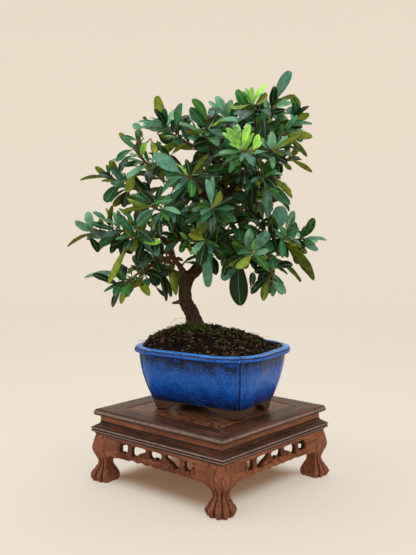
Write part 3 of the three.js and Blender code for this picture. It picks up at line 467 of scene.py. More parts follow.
# Mesh helpers
def finish_piece(name, data, materials, nodes, sharp, placing=None):
    """Links a mesh as a piece of the object: it rides on the body and stands for CAD nodes."""
    for material in materials:
        data.materials.append(material)
    data.shade_smooth()
    data.set_sharp_from_angle(angle=radians(sharp))
    data.update()
    piece = new_object(name, data)
    if placing is not None:
        piece.matrix_world = placing
    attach(piece, 'root')
    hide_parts(*nodes)


def rigid(placing):
    """A placing without its scale, for meshes that are already in metres."""
    return Matrix.Translation(placing.translation) @ placing.to_3x3().normalized().to_4x4()


def mesh_of(name, points, faces, scale=MM):
    data = bpy.data.meshes.new(name)
    data.from_pydata([tuple(Vector(point) * scale) for point in points], [], faces)
    return data


def turn_outward(data):
    """Faces of each closed form turned to point out of it."""
    shape = bmesh.new()
    shape.from_mesh(data)
    bmesh.ops.recalc_face_normals(shape, faces=shape.faces)
    shape.to_mesh(data)
    shape.free()


def skin(rings, closed=True):
    """Quads over rings of as many points each. A ring of one point closes an end to a tip."""
    count = max(len(ring) for ring in rings)
    points = [point for ring in rings for point in ring]
    faces = []
    start = 0
    for ring, following in zip(rings, rings[1:]):
        other = start + len(ring)
        for i in range(count):
            j = (i + 1) % count
            a, b = (start, start) if len(ring) == 1 else (start + i, start + j)
            c, d = (other, other) if len(following) == 1 else (other + i, other + j)
            faces.append(tuple(dict.fromkeys((a, b, d, c))))
        start = other
    if closed and len(rings[0]) > 1:
        faces.append(tuple(reversed(range(count))))
    if closed and len(rings[-1]) > 1:
        faces.append(tuple(range(len(points) - count, len(points))))
    return points, faces


def tube_rings(path, side_count, grow=0, waviness=0):
    """Rings round a path whose points carry a radius, with the section kept from twisting."""
    spots = [Vector(point[:3]) for point in path]
    rings = []
    across = None
    for k, spot in enumerate(spots):
        ahead = (spots[min(k + 1, len(spots) - 1)] - spots[max(k - 1, 0)]).normalized()
        if across is None:
            across = Vector((1, 0, 0)) if abs(ahead.x) < 0.9 else Vector((0, 0, 1))
        across = (across - ahead * across.dot(ahead)).normalized()
        beside = ahead.cross(across)
        radius = path[k][3] + grow
        ring = []
        for i in range(side_count):
            turn = i / side_count * 2 * pi
            rough = 1 + waviness * sin(3 * turn + 0.9 * k) + waviness * (chance(k * 31 + i) - 0.5)
            ring.append(
                spot + across * cos(turn) * radius * rough + beside * sin(turn) * radius * rough
            )
        rings.append(ring)
    return rings


def on_curve(points, place):
    """The point at a place along the points, 0 to the last index, on a smooth curve."""
    spots = [Vector(point) for point in points]
    k = min(int(place), len(spots) - 2)
    t = place - k
    here, there = spots[k], spots[k + 1]
    before = spots[k - 1] if k > 0 else 2 * here - there
    after = spots[k + 2] if k + 2 < len(spots) else 2 * there - here
    return 0.5 * (
        2 * here + (there - before) * t + (2 * before - 5 * here + 4 * there - after) * t * t
        + (3 * here - before - 3 * there + after) * t ** 3
    )


def strand(path, radii, sides=3):
    """A thin tube through the points of a path."""
    return skin(tube_rings([(*spot, radius) for spot, radius in zip(path, radii)], sides))


def add_attribute(data, name, values, kind='FLOAT', field='value'):
    data.attributes.new(name, kind, 'POINT').data.foreach_set(field, values)


def read_table(table, place):
    """The value at a place in a table of [place, value], straight between its rows, 0 past its end."""
    for (low, start), (high, end) in zip(table, table[1:]):
        if place <= high:
            return mix(start, end, (place - low) / (high - low))
    return 0


def inside_of(outline, x, z):
    """Whether a place, or each place of a grid, lies inside an outline."""
    inside = False
    for (x1, z1), (x2, z2) in zip(outline, outline[1:] + outline[:1]):
        if z1 != z2:
            inside ^= ((z1 > z) != (z2 > z)) & (x < x1 + (x2 - x1) * (z - z1) / (z2 - z1))
    return inside


def dress(node, material):
    """Gives a CAD node that is shown as it is a material."""
    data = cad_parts[node].data
    data.materials.clear()
    data.materials.append(material)


class Gathered:
    """Points and faces collected from many small closed forms, with a material for each."""

    def __init__(self):
        self.points = []
        self.faces = []
        self.marks = []

    def add(self, form, mark=0):
        points, faces = form
        start = len(self.points)
        self.points += points
        self.faces += [tuple(index + start for index in face) for face in faces]
        self.marks += [mark] * len(faces)

    def mesh(self, name, scale=MM):
        data = mesh_of(name, self.points, self.faces, scale)
        data.polygons.foreach_set('material_index', self.marks)
        return data


# Stand
def rounded(profile, start, end, steps=4):
    """The profile with the points from start to end joined by a smooth curve."""
    spots = profile[start:end + 1]
    curve = [tuple(on_curve(spots, k / steps)) for k in range(steps * (len(spots) - 1))]
    return profile[:start] + curve + profile[end:]


RAIL_INNER = STAND_HALF - RAIL_WIDTH
RAIL_GROOVE = RAIL_INNER + TONGUE_REACH + GAP
RAIL_EDGE = [
    (-1.6, BOARD_BOTTOM), (-0.3, 80.6), (0, 82), (-0.5, 84.6), (-1.7, 86.4), (-3.1, 87),
    (-4.6, STAND_TOP),
]
RAIL_PROFILE = rounded([
    (RAIL_INNER + 0.5, STAND_TOP), (RAIL_INNER, STAND_TOP - 0.5), (RAIL_INNER, TONGUE_TOP + GAP),
    (RAIL_GROOVE, TONGUE_TOP + GAP), (RAIL_GROOVE, TONGUE_BOTTOM - GAP),
    (RAIL_INNER, TONGUE_BOTTOM - GAP), (RAIL_INNER, BOARD_BOTTOM),
    *((STAND_HALF + out, z) for out, z in RAIL_EDGE),
], 7, 13)
MOULDING_INNER = WAIST_FACE - WAIST_THICKNESS - 4
MOULDING_EDGE = [
    (-0.8, MOULDING_BOTTOM), (-0.4, 58.1), (-0.4, 59), (0.5, 59.4), (1.8, 59.9), (2.4, 60.9),
    (1.9, 61.9), (1.1, 62.5), (1.9, 63.1), (2.4, 64.2), (1.9, 65.2), (0.6, 66.2), (-1.8, 67.6),
    (-4, 68.9),
]
MOULDING_PROFILE = [
    (MOULDING_INNER, WAIST_BOTTOM), (MOULDING_INNER, MOULDING_BOTTOM),
    *((STAND_HALF + out, z) for out, z in MOULDING_EDGE),
    (WAIST_FACE + 0.6, 70.2), (WAIST_FACE + 0.4, WAIST_BOTTOM),
]
SIDE_TURNS = {side: Matrix.Rotation(radians(90 * k), 4, 'Z') for k, side in enumerate(SIDES)}


def add_mitred(stem, profile, woods, steps=24):
    """Four lengths of moulding round the stand, cut at 45 degrees at both ends."""
    for k, side in enumerate(SIDES):
        rings = [
            [
                SIDE_TURNS[side] @ Vector((mix(GAP / 2 - out, out - GAP / 2, step / steps), -out, z))
                for out, z in profile
            ]
            for step in range(steps + 1)
        ]
        node = f'{stem}_{side}'
        data = mesh_of(node, *skin(rings))
        turn_outward(data)
        finish_piece(f'{node}_turned', data, [woods[k % 2]], [node], 32, rigid(STAND))


# Leg: each level is [height, outer face, inner face, outer corner's radius, side corners' radius,
# depth of the grooves between the toes], measured from the stand's axis
LEG_LEVELS = [
    (0, 102.4, 79.4, 8, 6, 1.6), (3, 104.6, 78.2, 9, 7, 2.6), (8, 105, 78, 9, 7, 2.7),
    (14.5, 101.8, 80.2, 8, 5.5, 2.1), (19, 98.6, 82.6, 6, 3.5, 1.7), (23.5, 97.6, 83.4, 5, 3, 1.6),
    (28.5, 99, 82, 4, 2.5, 1.2), (34, 101.4, 79.8, 2.8, 1, 0.5),
    (40, 102, LEG_FACE - LEG_WIDTH, 2, 0.8, 0), (49, 100.4, LEG_FACE - LEG_WIDTH, 1.6, 0.8, 0),
    (LEG_TOP, LEG_FACE, LEG_FACE - LEG_WIDTH, 1.4, 0.8, 0),
]
LEG_ROWS = 72
LEG_CORNER_STEPS = 18
LEG_SIDE_STEPS = 20
TOES = 5
TOE_TOP = 13
KNUCKLE_HEIGHT = 6.5


def leg_level(z):
    """The level table at a height, on a smooth curve."""
    heights = [level[0] for level in LEG_LEVELS]
    k = min(np.searchsorted(heights, z, 'right') - 1, len(heights) - 2)
    share = (z - heights[k]) / (heights[k + 1] - heights[k])
    return on_curve([LEG_LEVELS[0], *LEG_LEVELS, LEG_LEVELS[-1]], k + 1 + share)[1:]


def leg_outline(outer, inner, outer_radius, side_radius):
    """Corner arcs and straight sides of one level, counter-clockwise from the outer corner."""
    corners = [
        (outer - outer_radius, outer - outer_radius, outer_radius, 0),
        (inner + side_radius, outer - side_radius, side_radius, 90),
        (inner + 0.5, inner + 0.5, 0.5, 180),
        (outer - side_radius, inner + side_radius, side_radius, 270),
    ]
    arcs = [
        [
            (x + radius * cos(radians(start + 90 * i / LEG_CORNER_STEPS)),
             y + radius * sin(radians(start + 90 * i / LEG_CORNER_STEPS)))
            for i in range(LEG_CORNER_STEPS + 1)
        ]
        for x, y, radius, start in corners
    ]
    outline = []
    for k, arc in enumerate(arcs):
        outline += arc
        here, there = Vector(arc[-1]), Vector(arcs[(k + 1) % 4][0])
        outline += [tuple(here.lerp(there, i / LEG_SIDE_STEPS)) for i in range(1, LEG_SIDE_STEPS)]
    return outline


def leg_mesh():
    """The leg's form, and how deep in the carving each of its points lies, where the wood is painted in
    shade.
    """
    rings = []
    carving = []
    for row in range(LEG_ROWS + 1):
        z = LEG_TOP * row / LEG_ROWS
        outer, inner, outer_radius, side_radius, groove = leg_level(z)
        middle = (outer + inner) / 2
        knuckle = 1.1 * exp(-((z - KNUCKLE_HEIGHT) / 2.4) ** 2)
        knuckle -= 0.7 * exp(-((z - TOE_TOP) / 1.6) ** 2)
        claw = 0.9 * exp(-(z / 1.6) ** 2)
        ring = []
        for x, y in leg_outline(outer, inner, max(0.6, outer_radius), max(0.4, side_radius)):
            bearing = atan2(y - inner, x - inner)
            front = min(1, max(0, (max(x, y) - middle) / 4))
            wave = cos(bearing * 4 * TOES)
            carve = groove * max(0, -wave) ** 1.6 - 0.35 * groove * max(0, wave)
            carve -= (knuckle + claw) * max(0, wave) * min(1, groove)
            carve += min(1, groove) * 0.7 * noise.noise(Vector((x, y, z)) / 2.6)
            carve *= front
            carving.append(front * min(1, groove / 1.6) * max(0, -wave) ** 1.6)
            pull = 1 - carve / hypot(x - middle, y - middle)
            ring.append((mix(middle, x, pull), mix(middle, y, pull), z))
        rings.append(ring)
    return *skin(rings), carving


def add_carved(stem, form, woods, first_turn, sharp):
    """A carved piece on each side of the stand, all turned from one form."""
    points, faces, carving = form
    for k, side in enumerate(SIDES):
        node = f'{stem}_{side}'
        data = mesh_of(f'{node}_carved', points, faces)
        add_attribute(data, 'carving', carving)
        data.transform(Matrix.Rotation(radians(90 * (k + first_turn)), 4, 'Z'))
        wood = woods[k % len(woods)]
        finish_piece(f'{node}_carved', data, [wood], [node], sharp, rigid(STAND))


# Apron: the board's face is read as a height field over a fine grid, with what is carved on it
APRON_FACE = [(29, 98.6), (37, 101.4), (46, 100.8), (LEG_TOP, 98.2)]
APRON_BACK = 93.5
APRON_BOTTOM = 29.5
APRON_EDGE = 1.6
OPENING_GROWTH = 0.9
APRON_END = LEG_FACE - LEG_WIDTH - GAP
APRON_STEP = 0.75
SLIDE_ROUNDS = 3
SMALL_STEP = 0.05
SCALLOP_REACH = 50
SCALLOP_STEP = 7.15
SCALLOP_HEIGHT = 35
SCALLOP_DEPTH = 1.7
APRON_SHOULDER = [(57, 33.4), (65, 33), (71, 34.4), (APRON_END, 30.4)]
MIDDLE_OPENING = [(-8.4, 51.6), (8.4, 51.6), (8, 46.6), (4.8, 44.6), (0, 47.8), (-4.8, 44.6), (-8, 46.6)]
SCROLL_OPENING = [
    (16.5, 50), (17.6, 52), (34, 52), (37, 47), (35.8, 41.8), (31, 42.4), (25, 46.8), (20, 48.6),
]
END_OPENING = [
    (45.2, 51.4), (54.8, 51.8), (55.2, 46.4), (55.4, 42.6), (51.4, 44.2), (48.6, 42.2), (45.4, 43.6),
]
# Carved scrolls on the right half: [middle, radius, start and end of the turn in degrees]
SCROLLS = [
    ((27.6, 43.6), 4.2, 200, -60), ((50.2, 41.2), 3.4, 200, -40), ((6.8, 43), 3, 330, 90),
    ((36, 41.4), 3.2, 120, 330), ((60, 47.4), 5.6, 250, 60),
]
SCROLL_POINTS = 14
STROKE_RELIEF = 2.4
STROKE_HALF = 1.9
CARVED_LEVEL = 2
ROPE_LEVEL = 38.4
ROPE_RADIUS = 3.4
ROPE_PITCH = 7.15


def mirror(outline):
    return [(-x, z) for x, z in outline]


def apron_outline():
    lower = []
    lobe = 0
    while lobe * SCALLOP_STEP <= SCALLOP_REACH:
        drop = -SCALLOP_DEPTH if lobe % 2 == 0 else SCALLOP_DEPTH
        lower.append((lobe * SCALLOP_STEP, SCALLOP_HEIGHT + drop))
        lobe += 1
    half = lower + APRON_SHOULDER + [(APRON_END, LEG_TOP)]
    return half + mirror(half)[::-1][:-1]


def smooth_outline(outline, rounds=2):
    """Chaikin's corner cutting."""
    for _ in range(rounds):
        cut = []
        for (x1, z1), (x2, z2) in zip(outline, outline[1:] + outline[:1]):
            cut += [(mix(x1, x2, 0.25), mix(z1, z2, 0.25)), (mix(x1, x2, 0.75), mix(z1, z2, 0.75))]
        outline = cut
    return outline


def distance_to(line, x, z, closed=True):
    """Least distance from each grid point to a line of points."""
    spots = np.array(line, float)
    ends = np.roll(spots, -1, 0) if closed else spots[1:]
    starts = spots if closed else spots[:-1]
    best = np.full(x.shape, 1e9)
    for (x1, z1), (x2, z2) in zip(starts, ends):
        run = np.array([x2 - x1, z2 - z1])
        share = np.clip(((x - x1) * run[0] + (z - z1) * run[1]) / max(1e-9, run @ run), 0, 1)
        best = np.minimum(best, np.hypot(x - x1 - share * run[0], z - z1 - share * run[1]))
    return best


def apron_depth(x, z):
    """Signed distance into the wood: positive inside the outline and clear of the openings."""
    outline = apron_outline()
    depth = np.where(inside_of(outline, x, z), 1, -1) * distance_to(outline, x, z)
    for opening in (MIDDLE_OPENING, SCROLL_OPENING, END_OPENING,
                    mirror(SCROLL_OPENING)[::-1], mirror(END_OPENING)[::-1]):
        line = smooth_outline(opening)
        hole = np.where(inside_of(line, x, z), -1, 1) * distance_to(line, x, z)
        depth = np.minimum(depth, hole - OPENING_GROWTH)
    return depth


def apron_relief(x, z, depth):
    """How far the carving stands out from the board's face."""
    edge = np.clip(depth / APRON_EDGE, 0, 1)
    relief = -1.3 * (1 - np.sqrt(1 - (1 - edge) ** 2 + 1e-9) ** 0.8)
    reach_x = np.abs(x)
    carved = np.clip((64 - reach_x) / 4, 0, 1) * np.clip((53.4 - z) / 1.2, 0, 1)
    relief -= CARVED_LEVEL * carved
    for (cx, cz), radius, start, end in SCROLLS:
        for side in (1, -1):
            turn = np.radians(np.linspace(start, end, SCROLL_POINTS))
            swell = np.linspace(1, 0.45, SCROLL_POINTS)
            across = side * (cx + radius * swell * np.cos(turn))
            line = list(zip(across, cz + radius * swell * np.sin(turn)))
            near = distance_to(line, x, z, closed=False)
            stroke = STROKE_RELIEF * np.sqrt(np.clip(1 - (near / STROKE_HALF) ** 2, 0, 1))
            relief += carved * stroke * 0.9
            relief -= carved * 0.5 * np.exp(-((near - 2.2) / 0.5) ** 2)
    rope = np.sqrt(np.clip(1 - ((z - ROPE_LEVEL) / ROPE_RADIUS) ** 2, 0, 1))
    twist = np.sin(2 * np.pi * (x + np.sign(x) * (z - ROPE_LEVEL) * 0.9) / ROPE_PITCH)
    relief += carved * rope * (1.5 + 1.1 * twist)
    return relief


def apron_mesh():
    columns = int(round(2 * APRON_END / APRON_STEP))
    rows = int(round((LEG_TOP - APRON_BOTTOM) / APRON_STEP))
    xs = np.linspace(-APRON_END, APRON_END, columns + 1)
    zs = np.linspace(APRON_BOTTOM, LEG_TOP, rows + 1)
    x, z = np.meshgrid(xs, zs)
    cell_x, cell_z = (x[1:, 1:] + x[:-1, :-1]) / 2, (z[1:, 1:] + z[:-1, :-1]) / 2
    kept = apron_depth(cell_x, cell_z) > 0
    # Corners of kept cells on the border slide along the slope of the depth to the true edge
    used = np.zeros(x.shape, int)
    for dr in (0, 1):
        for dc in (0, 1):
            used[dr:dr + kept.shape[0], dc:dc + kept.shape[1]] += kept
    border = (used > 0) & (used < 4)
    for _ in range(SLIDE_ROUNDS):
        depth = apron_depth(x, z)
        slope_x = (apron_depth(x + SMALL_STEP, z) - apron_depth(x - SMALL_STEP, z)) / (2 * SMALL_STEP)
        slope_z = (apron_depth(x, z + SMALL_STEP) - apron_depth(x, z - SMALL_STEP)) / (2 * SMALL_STEP)
        size = np.maximum(0.5, slope_x ** 2 + slope_z ** 2)
        move = np.where(border, np.clip(-depth, -APRON_STEP, APRON_STEP) / size, 0)
        x, z = x + move * slope_x, z + move * slope_z
    x, z = np.clip(x, -APRON_END, APRON_END), np.clip(z, None, LEG_TOP)
    depth = np.where(border, 0, np.maximum(0, apron_depth(x, z)))
    top_edge = np.clip((LEG_TOP - z) / APRON_EDGE, 0, 1)
    depth = np.where(top_edge < 1, np.maximum(depth, APRON_EDGE), depth)
    depth = np.where(np.abs(x) > APRON_END - 1, np.maximum(depth, APRON_EDGE), depth)
    face = np.interp(z, [level[0] for level in APRON_FACE], [level[1] for level in APRON_FACE])
    relief = apron_relief(x, z, depth)
    front = np.maximum(APRON_BACK + 2, face + relief)
    # Painted shade in the carving's low parts and on the walls round the openings above the rope
    low = np.clip(-relief / CARVED_LEVEL - 0.4, 0, 1) * (depth > 0.6)
    low = np.maximum(low, 0.7 * (depth < 0.4) * (z > ROPE_LEVEL + 2))
    index = -np.ones(x.shape, int)
    total = int((used > 0).sum())
    index[used > 0] = np.arange(total)
    spots = np.argwhere(used > 0)
    points = [(x[r, c], -front[r, c], z[r, c]) for r, c in spots]
    points += [(x[r, c], -APRON_BACK, z[r, c]) for r, c in spots]
    # Painted shade: the back face is fully shaded, the front by its carving
    carving = [float(low[r, c]) for r, c in spots] + [1] * total
    faces = []
    edges = {}
    for r, c in np.argwhere(kept):
        a, b, d, e = index[r, c], index[r, c + 1], index[r + 1, c + 1], index[r + 1, c]
        faces.append((a, b, d, e))
        faces.append((total + e, total + d, total + b, total + a))
        for one, two in ((a, b), (b, d), (d, e), (e, a)):
            edges[(one, two)] = edges.get((one, two), 0) + 1
    for one, two in edges:
        if (two, one) not in edges:
            faces.append((two, one, total + one, total + two))
    return points, [tuple(int(i) for i in face) for face in faces], carving


WOOD_TONES = (srgb(190, 120, 78), srgb(148, 87, 58), srgb(80, 44, 29))
TOP_TONES = (srgb(150, 98, 68), srgb(96, 60, 44), srgb(34, 20, 15))
# A painted sheen for the rounded lips of the rails and moulding
PAINTED_SHEEN = srgb(150, 134, 130)
# Lines of painted shade in grooves and under boards, and of painted sheen on the lips
RAIL_LINES = [(80.4, 1.1, PAINTED_SHADE, 0.9), (83.6, 1.8, PAINTED_SHEEN, 0.55)]
MOULDING_LINES = [
    (58.6, 0.9, PAINTED_SHADE, 0.9), (60.9, 0.9, PAINTED_SHEEN, 0.5), (62.5, 0.75, PAINTED_SHADE, 0.95), (64.2, 1, PAINTED_SHEEN, 0.7),
    (66.2, 0.7, PAINTED_SHADE, 0.7), (71, 1.2, PAINTED_SHADE, 0.8),
]
WAIST_LINES = [(72, 1, PAINTED_SHADE, 0.8), (79.4, 1.6, PAINTED_SHADE, 0.9)]


def panel_wood():
    """The panel's board: long fibres with swirling orange-brown figure."""
    material, tree, shader = new_material('panel_wood', 0.38, Specular_IOR_Level=0.18)
    place = coordinates(tree, (3.2, 1, 1))
    swirl = noise_of(place, 20, 3, 0.6, 2.6)
    rings = maths('SINE', times(swirl, 58))
    fibres = noise_of(coordinates(tree, (10, 1, 1)), 0.7, 3)
    colour = blend(reach(rings, -0.9, 0.9), srgb(42, 25, 19), srgb(146, 96, 68))
    colour = blend(reach(fibres, 0.45, 0.8, 0, 0.4), colour, srgb(150, 92, 60))
    # Painted shade along the gap between the panel and the rails
    edge = reach(off_axis(tree), RAIL_INNER - 1.9, RAIL_INNER - 1.1)
    colour = blend(edge, colour, PAINTED_SHADE)
    put(shader.inputs['Base Color'], colour)
    bump(shader, fibres, 0.1, 0.5)
    return material


def build_stand():
    woods = [figured_wood('wood_front', 0, *WOOD_TONES), figured_wood('wood_side', 1, *WOOD_TONES)]
    tops, trims, boards = (
        [figured_wood(f'{name}_{k}', k, *tones, 0.36, 0, lines) for k in (0, 1)]
        for name, tones, lines in (
            ('rail_wood', TOP_TONES, RAIL_LINES), ('moulding_wood', TOP_TONES, MOULDING_LINES),
            ('waist_wood', WOOD_TONES, WAIST_LINES),
        )
    )
    upright = figured_wood('wood_leg', 2, *WOOD_TONES, 0.45, 1.8)
    add_mitred('top_rail', RAIL_PROFILE, tops)
    add_mitred('moulding', MOULDING_PROFILE, trims)
    add_carved('leg', leg_mesh(), [upright], -1, 50)
    add_carved('apron', apron_mesh(), woods, 0, 40)
    for k, side in enumerate(SIDES):
        dress(f'waist_board_{side}', boards[k % 2])
    dress('top_panel', panel_wood())


# Pot: rings of a rounded rectangle with two close ridges down each corner
BODY_TOP = POT_HEIGHT - RIM_HEIGHT
LIP_INSET = RIM_FLAT + 2
RIDGE_OFFSET = 2
RIDGE_WIDTH = 0.75
CORNER_REACHES = (0, 0.5, 1, 1.4, 1.7, 2, 2.3, 2.6, 3)
ARC_STEPS = 8
POT_SIDE_STEPS = 14
QUARTERS = ((0, 1, 1), (1, -1, 1), (2, -1, -1), (3, 1, -1))


def arc_reaches(radius):
    """Distances along a corner's arc from its middle, closer together at the ridges."""
    half = radius * pi / 4
    last = min(CORNER_REACHES[-1], half / 2)
    near = [reach * last / CORNER_REACHES[-1] for reach in CORNER_REACHES]
    far = [mix(last, half, (i + 1) / ARC_STEPS) for i in range(ARC_STEPS)]
    return [-reach for reach in reversed(near[1:] + far)] + near + far


def pot_ring(half_x, half_y, radius, z, rib=0):
    reaches = arc_reaches(radius)
    corners = []
    for quarter, sign_x, sign_y in QUARTERS:
        corner = []
        for reach in reaches:
            angle = radians(quarter * 90 + 45) + reach / radius
            ridge = exp(-((abs(reach) - RIDGE_OFFSET) / RIDGE_WIDTH) ** 2)
            ridge -= 0.35 * exp(-(reach / 1.1) ** 2)
            out = radius + rib * ridge
            corner.append(Vector((
                sign_x * (half_x - radius) + out * cos(angle),
                sign_y * (half_y - radius) + out * sin(angle),
                z,
            )))
        corners.append(corner)
    ring = []
    for k, corner in enumerate(corners):
        ring += corner
        following = corners[(k + 1) % 4][0]
        ring += [corner[-1].lerp(following, i / POT_SIDE_STEPS) for i in range(1, POT_SIDE_STEPS)]
    return ring


def groove_levels():
    """For each point of a ring, how close it is to a corner's middle."""
    near = [exp(-(reach / 3) ** 2) for reach in arc_reaches(RIM_CORNER)]
    return (near + [0] * (POT_SIDE_STEPS - 1)) * 4


def body_plan(z):
    rise = (z - FOOT_HEIGHT) / (BODY_TOP - FOOT_HEIGHT)
    swell = 1 - (1 - min(1, max(0, rise))) ** 1.75
    low, high = (*BASE_HALF, BASE_CORNER), (*RIM_HALF, RIM_CORNER)
    return [mix(start, end - RIM_OVERHANG, swell) for start, end in zip(low, high)]


def body_ring(z, inward, rib=0):
    half_x, half_y, radius = body_plan(z)
    return pot_ring(half_x - inward, half_y - inward, max(3, radius - inward), z, rib)


def rim_ring(inward, drop, rib=0):
    return pot_ring(
        RIM_HALF[0] - inward, RIM_HALF[1] - inward, RIM_CORNER - inward, POT_HEIGHT - drop, rib,
    )


# Rim from its lower edge up and over, [inset from the widest line, drop from the top, corner rib]
RIM_PROFILE = [
    (5.9, 7.5, 0.8), (4.6, 7.55, 0.8), (3.2, 7.55, 0.9), (2, 7.45, 0.9), (1.1, 7.1, 0.9),
    (0.45, 6.5, 0.9), (0.1, 5.8, 0.9), (0, 4.9, 0.9), (0, 4, 0.9), (0.05, 3.3, 0.8), (0.2, 2.7, 0.7),
    (0.4, 2.2, 0.6), (0.75, 1.8, 0.4), (1.3, 1.5, 0.2), (2.2, 1.25, 0), (3.4, 0.9, 0), (5, 0.4, 0),
    (6.6, 0.05, 0), (7.8, 0, 0), (8.8, 0.6, 0), (9.6, 2, 0), (LIP_INSET, 4, 0),
]
BODY_ROWS = 34
CAVITY_ROWS = (0.5, 0.2, 0)
DRAIN_STEPS = 32
WALL_WAVER = 0.3
WAVED_RINGS = slice(3, BODY_ROWS + 10)


def drain_ring(side, z):
    turns = [2 * pi * i / DRAIN_STEPS for i in range(DRAIN_STEPS)]
    return [
        Vector((side * DRAIN_OFFSET + DRAIN_RADIUS * cos(turn), DRAIN_RADIUS * sin(turn), z))
        for turn in turns
    ]


def pot_shell():
    """The wall from its foot up, over the rim and down to the floor, and both pierced floors."""
    rings = [
        body_ring(mix(FOOT_HEIGHT, BODY_TOP, (row / BODY_ROWS) ** 1.15), 0, CORNER_RIB)
        for row in range(BODY_ROWS + 1)
    ]
    rings += [rim_ring(*level) for level in RIM_PROFILE]
    rings += [body_ring(mix(POT_FLOOR, BODY_TOP, share), POT_WALL) for share in CAVITY_ROWS]
    for ring in rings[WAVED_RINGS]:
        for spot in ring:
            spot += Vector((spot.x, spot.y, 0)).normalized() * (noise.noise(spot / 34) * WALL_WAVER)
    points, faces = skin(rings, closed=False)
    grooves = groove_levels() * len(rings)
    count = len(rings[0])
    inner = len(points) - count
    drains = []
    for side in (-1, 1):
        low, high = len(points), len(points) + DRAIN_STEPS
        points += drain_ring(side, FOOT_HEIGHT) + drain_ring(side, POT_FLOOR)
        grooves += [0] * (2 * DRAIN_STEPS)
        drains.append((low, high))
        for i in range(DRAIN_STEPS):
            j = (i + 1) % DRAIN_STEPS
            faces.append((low + i, high + i, high + j, low + j))
    for start, end in ((0, 0), (inner, 1)):
        loops = [list(range(start, start + count))]
        loops += [list(range(drain[end], drain[end] + DRAIN_STEPS)) for drain in drains]
        flat = [index for loop in loops for index in loop]
        for triangle in tessellate_polygon([[points[index] for index in loop] for loop in loops]):
            faces.append(tuple(flat[corner] for corner in triangle))
    return points, faces, grooves


# Foot: an ogee bracket under each corner, [height, length along each side, inset]
FOOT_LEVELS = [
    (0, 14.5, 4.4), (0.5, 16, 3.5), (1.4, 17.4, 2.9), (3.5, 19.8, 2.4), (5.2, 22.6, 2), (7, 26, 1.5),
    (8.6, 30, 1.2), (10, 34, 1), (11, 37, 0.9), (FOOT_HEIGHT, 39, 0.8), (FOOT_HEIGHT + 1, 40, 0.8),
]
FOOT_STRETCH = 1.26
FOOT_CUT = 0.7
FOOT_CORNER_STEPS = 8
FOOT_SIDE_STEPS = 8


def foot_ring(level, sign_x, sign_y):
    z, length, inset = level
    x, y = BASE_HALF[0] - inset, BASE_HALF[1] - inset
    long, short = length * FOOT_STRETCH, length
    cut = BASE_CORNER * FOOT_CUT
    ring = []
    for i in range(FOOT_CORNER_STEPS + 1):
        angle = radians(90 * i / FOOT_CORNER_STEPS)
        ring.append((x - cut + cut * cos(angle), y - cut + cut * sin(angle)))
    outline = [
        (x - long + 1.2, y), (x - long, y - 1.2), (x - long * 0.86, y - short * 0.5),
        (x - long * 0.5, y - short * 0.86), (x - 1.2, y - short), (x, y - short + 1.2),
    ]
    for here, there in zip([ring[-1]] + outline, outline + [ring[0]]):
        steps = FOOT_SIDE_STEPS if dist(here, there) > 8 else 1
        ring += [
            (mix(here[0], there[0], i / steps), mix(here[1], there[1], i / steps))
            for i in range(1, steps + 1)
        ]
    return [Vector((sign_x * a, sign_y * b, z)) for a, b in ring[:-1]]


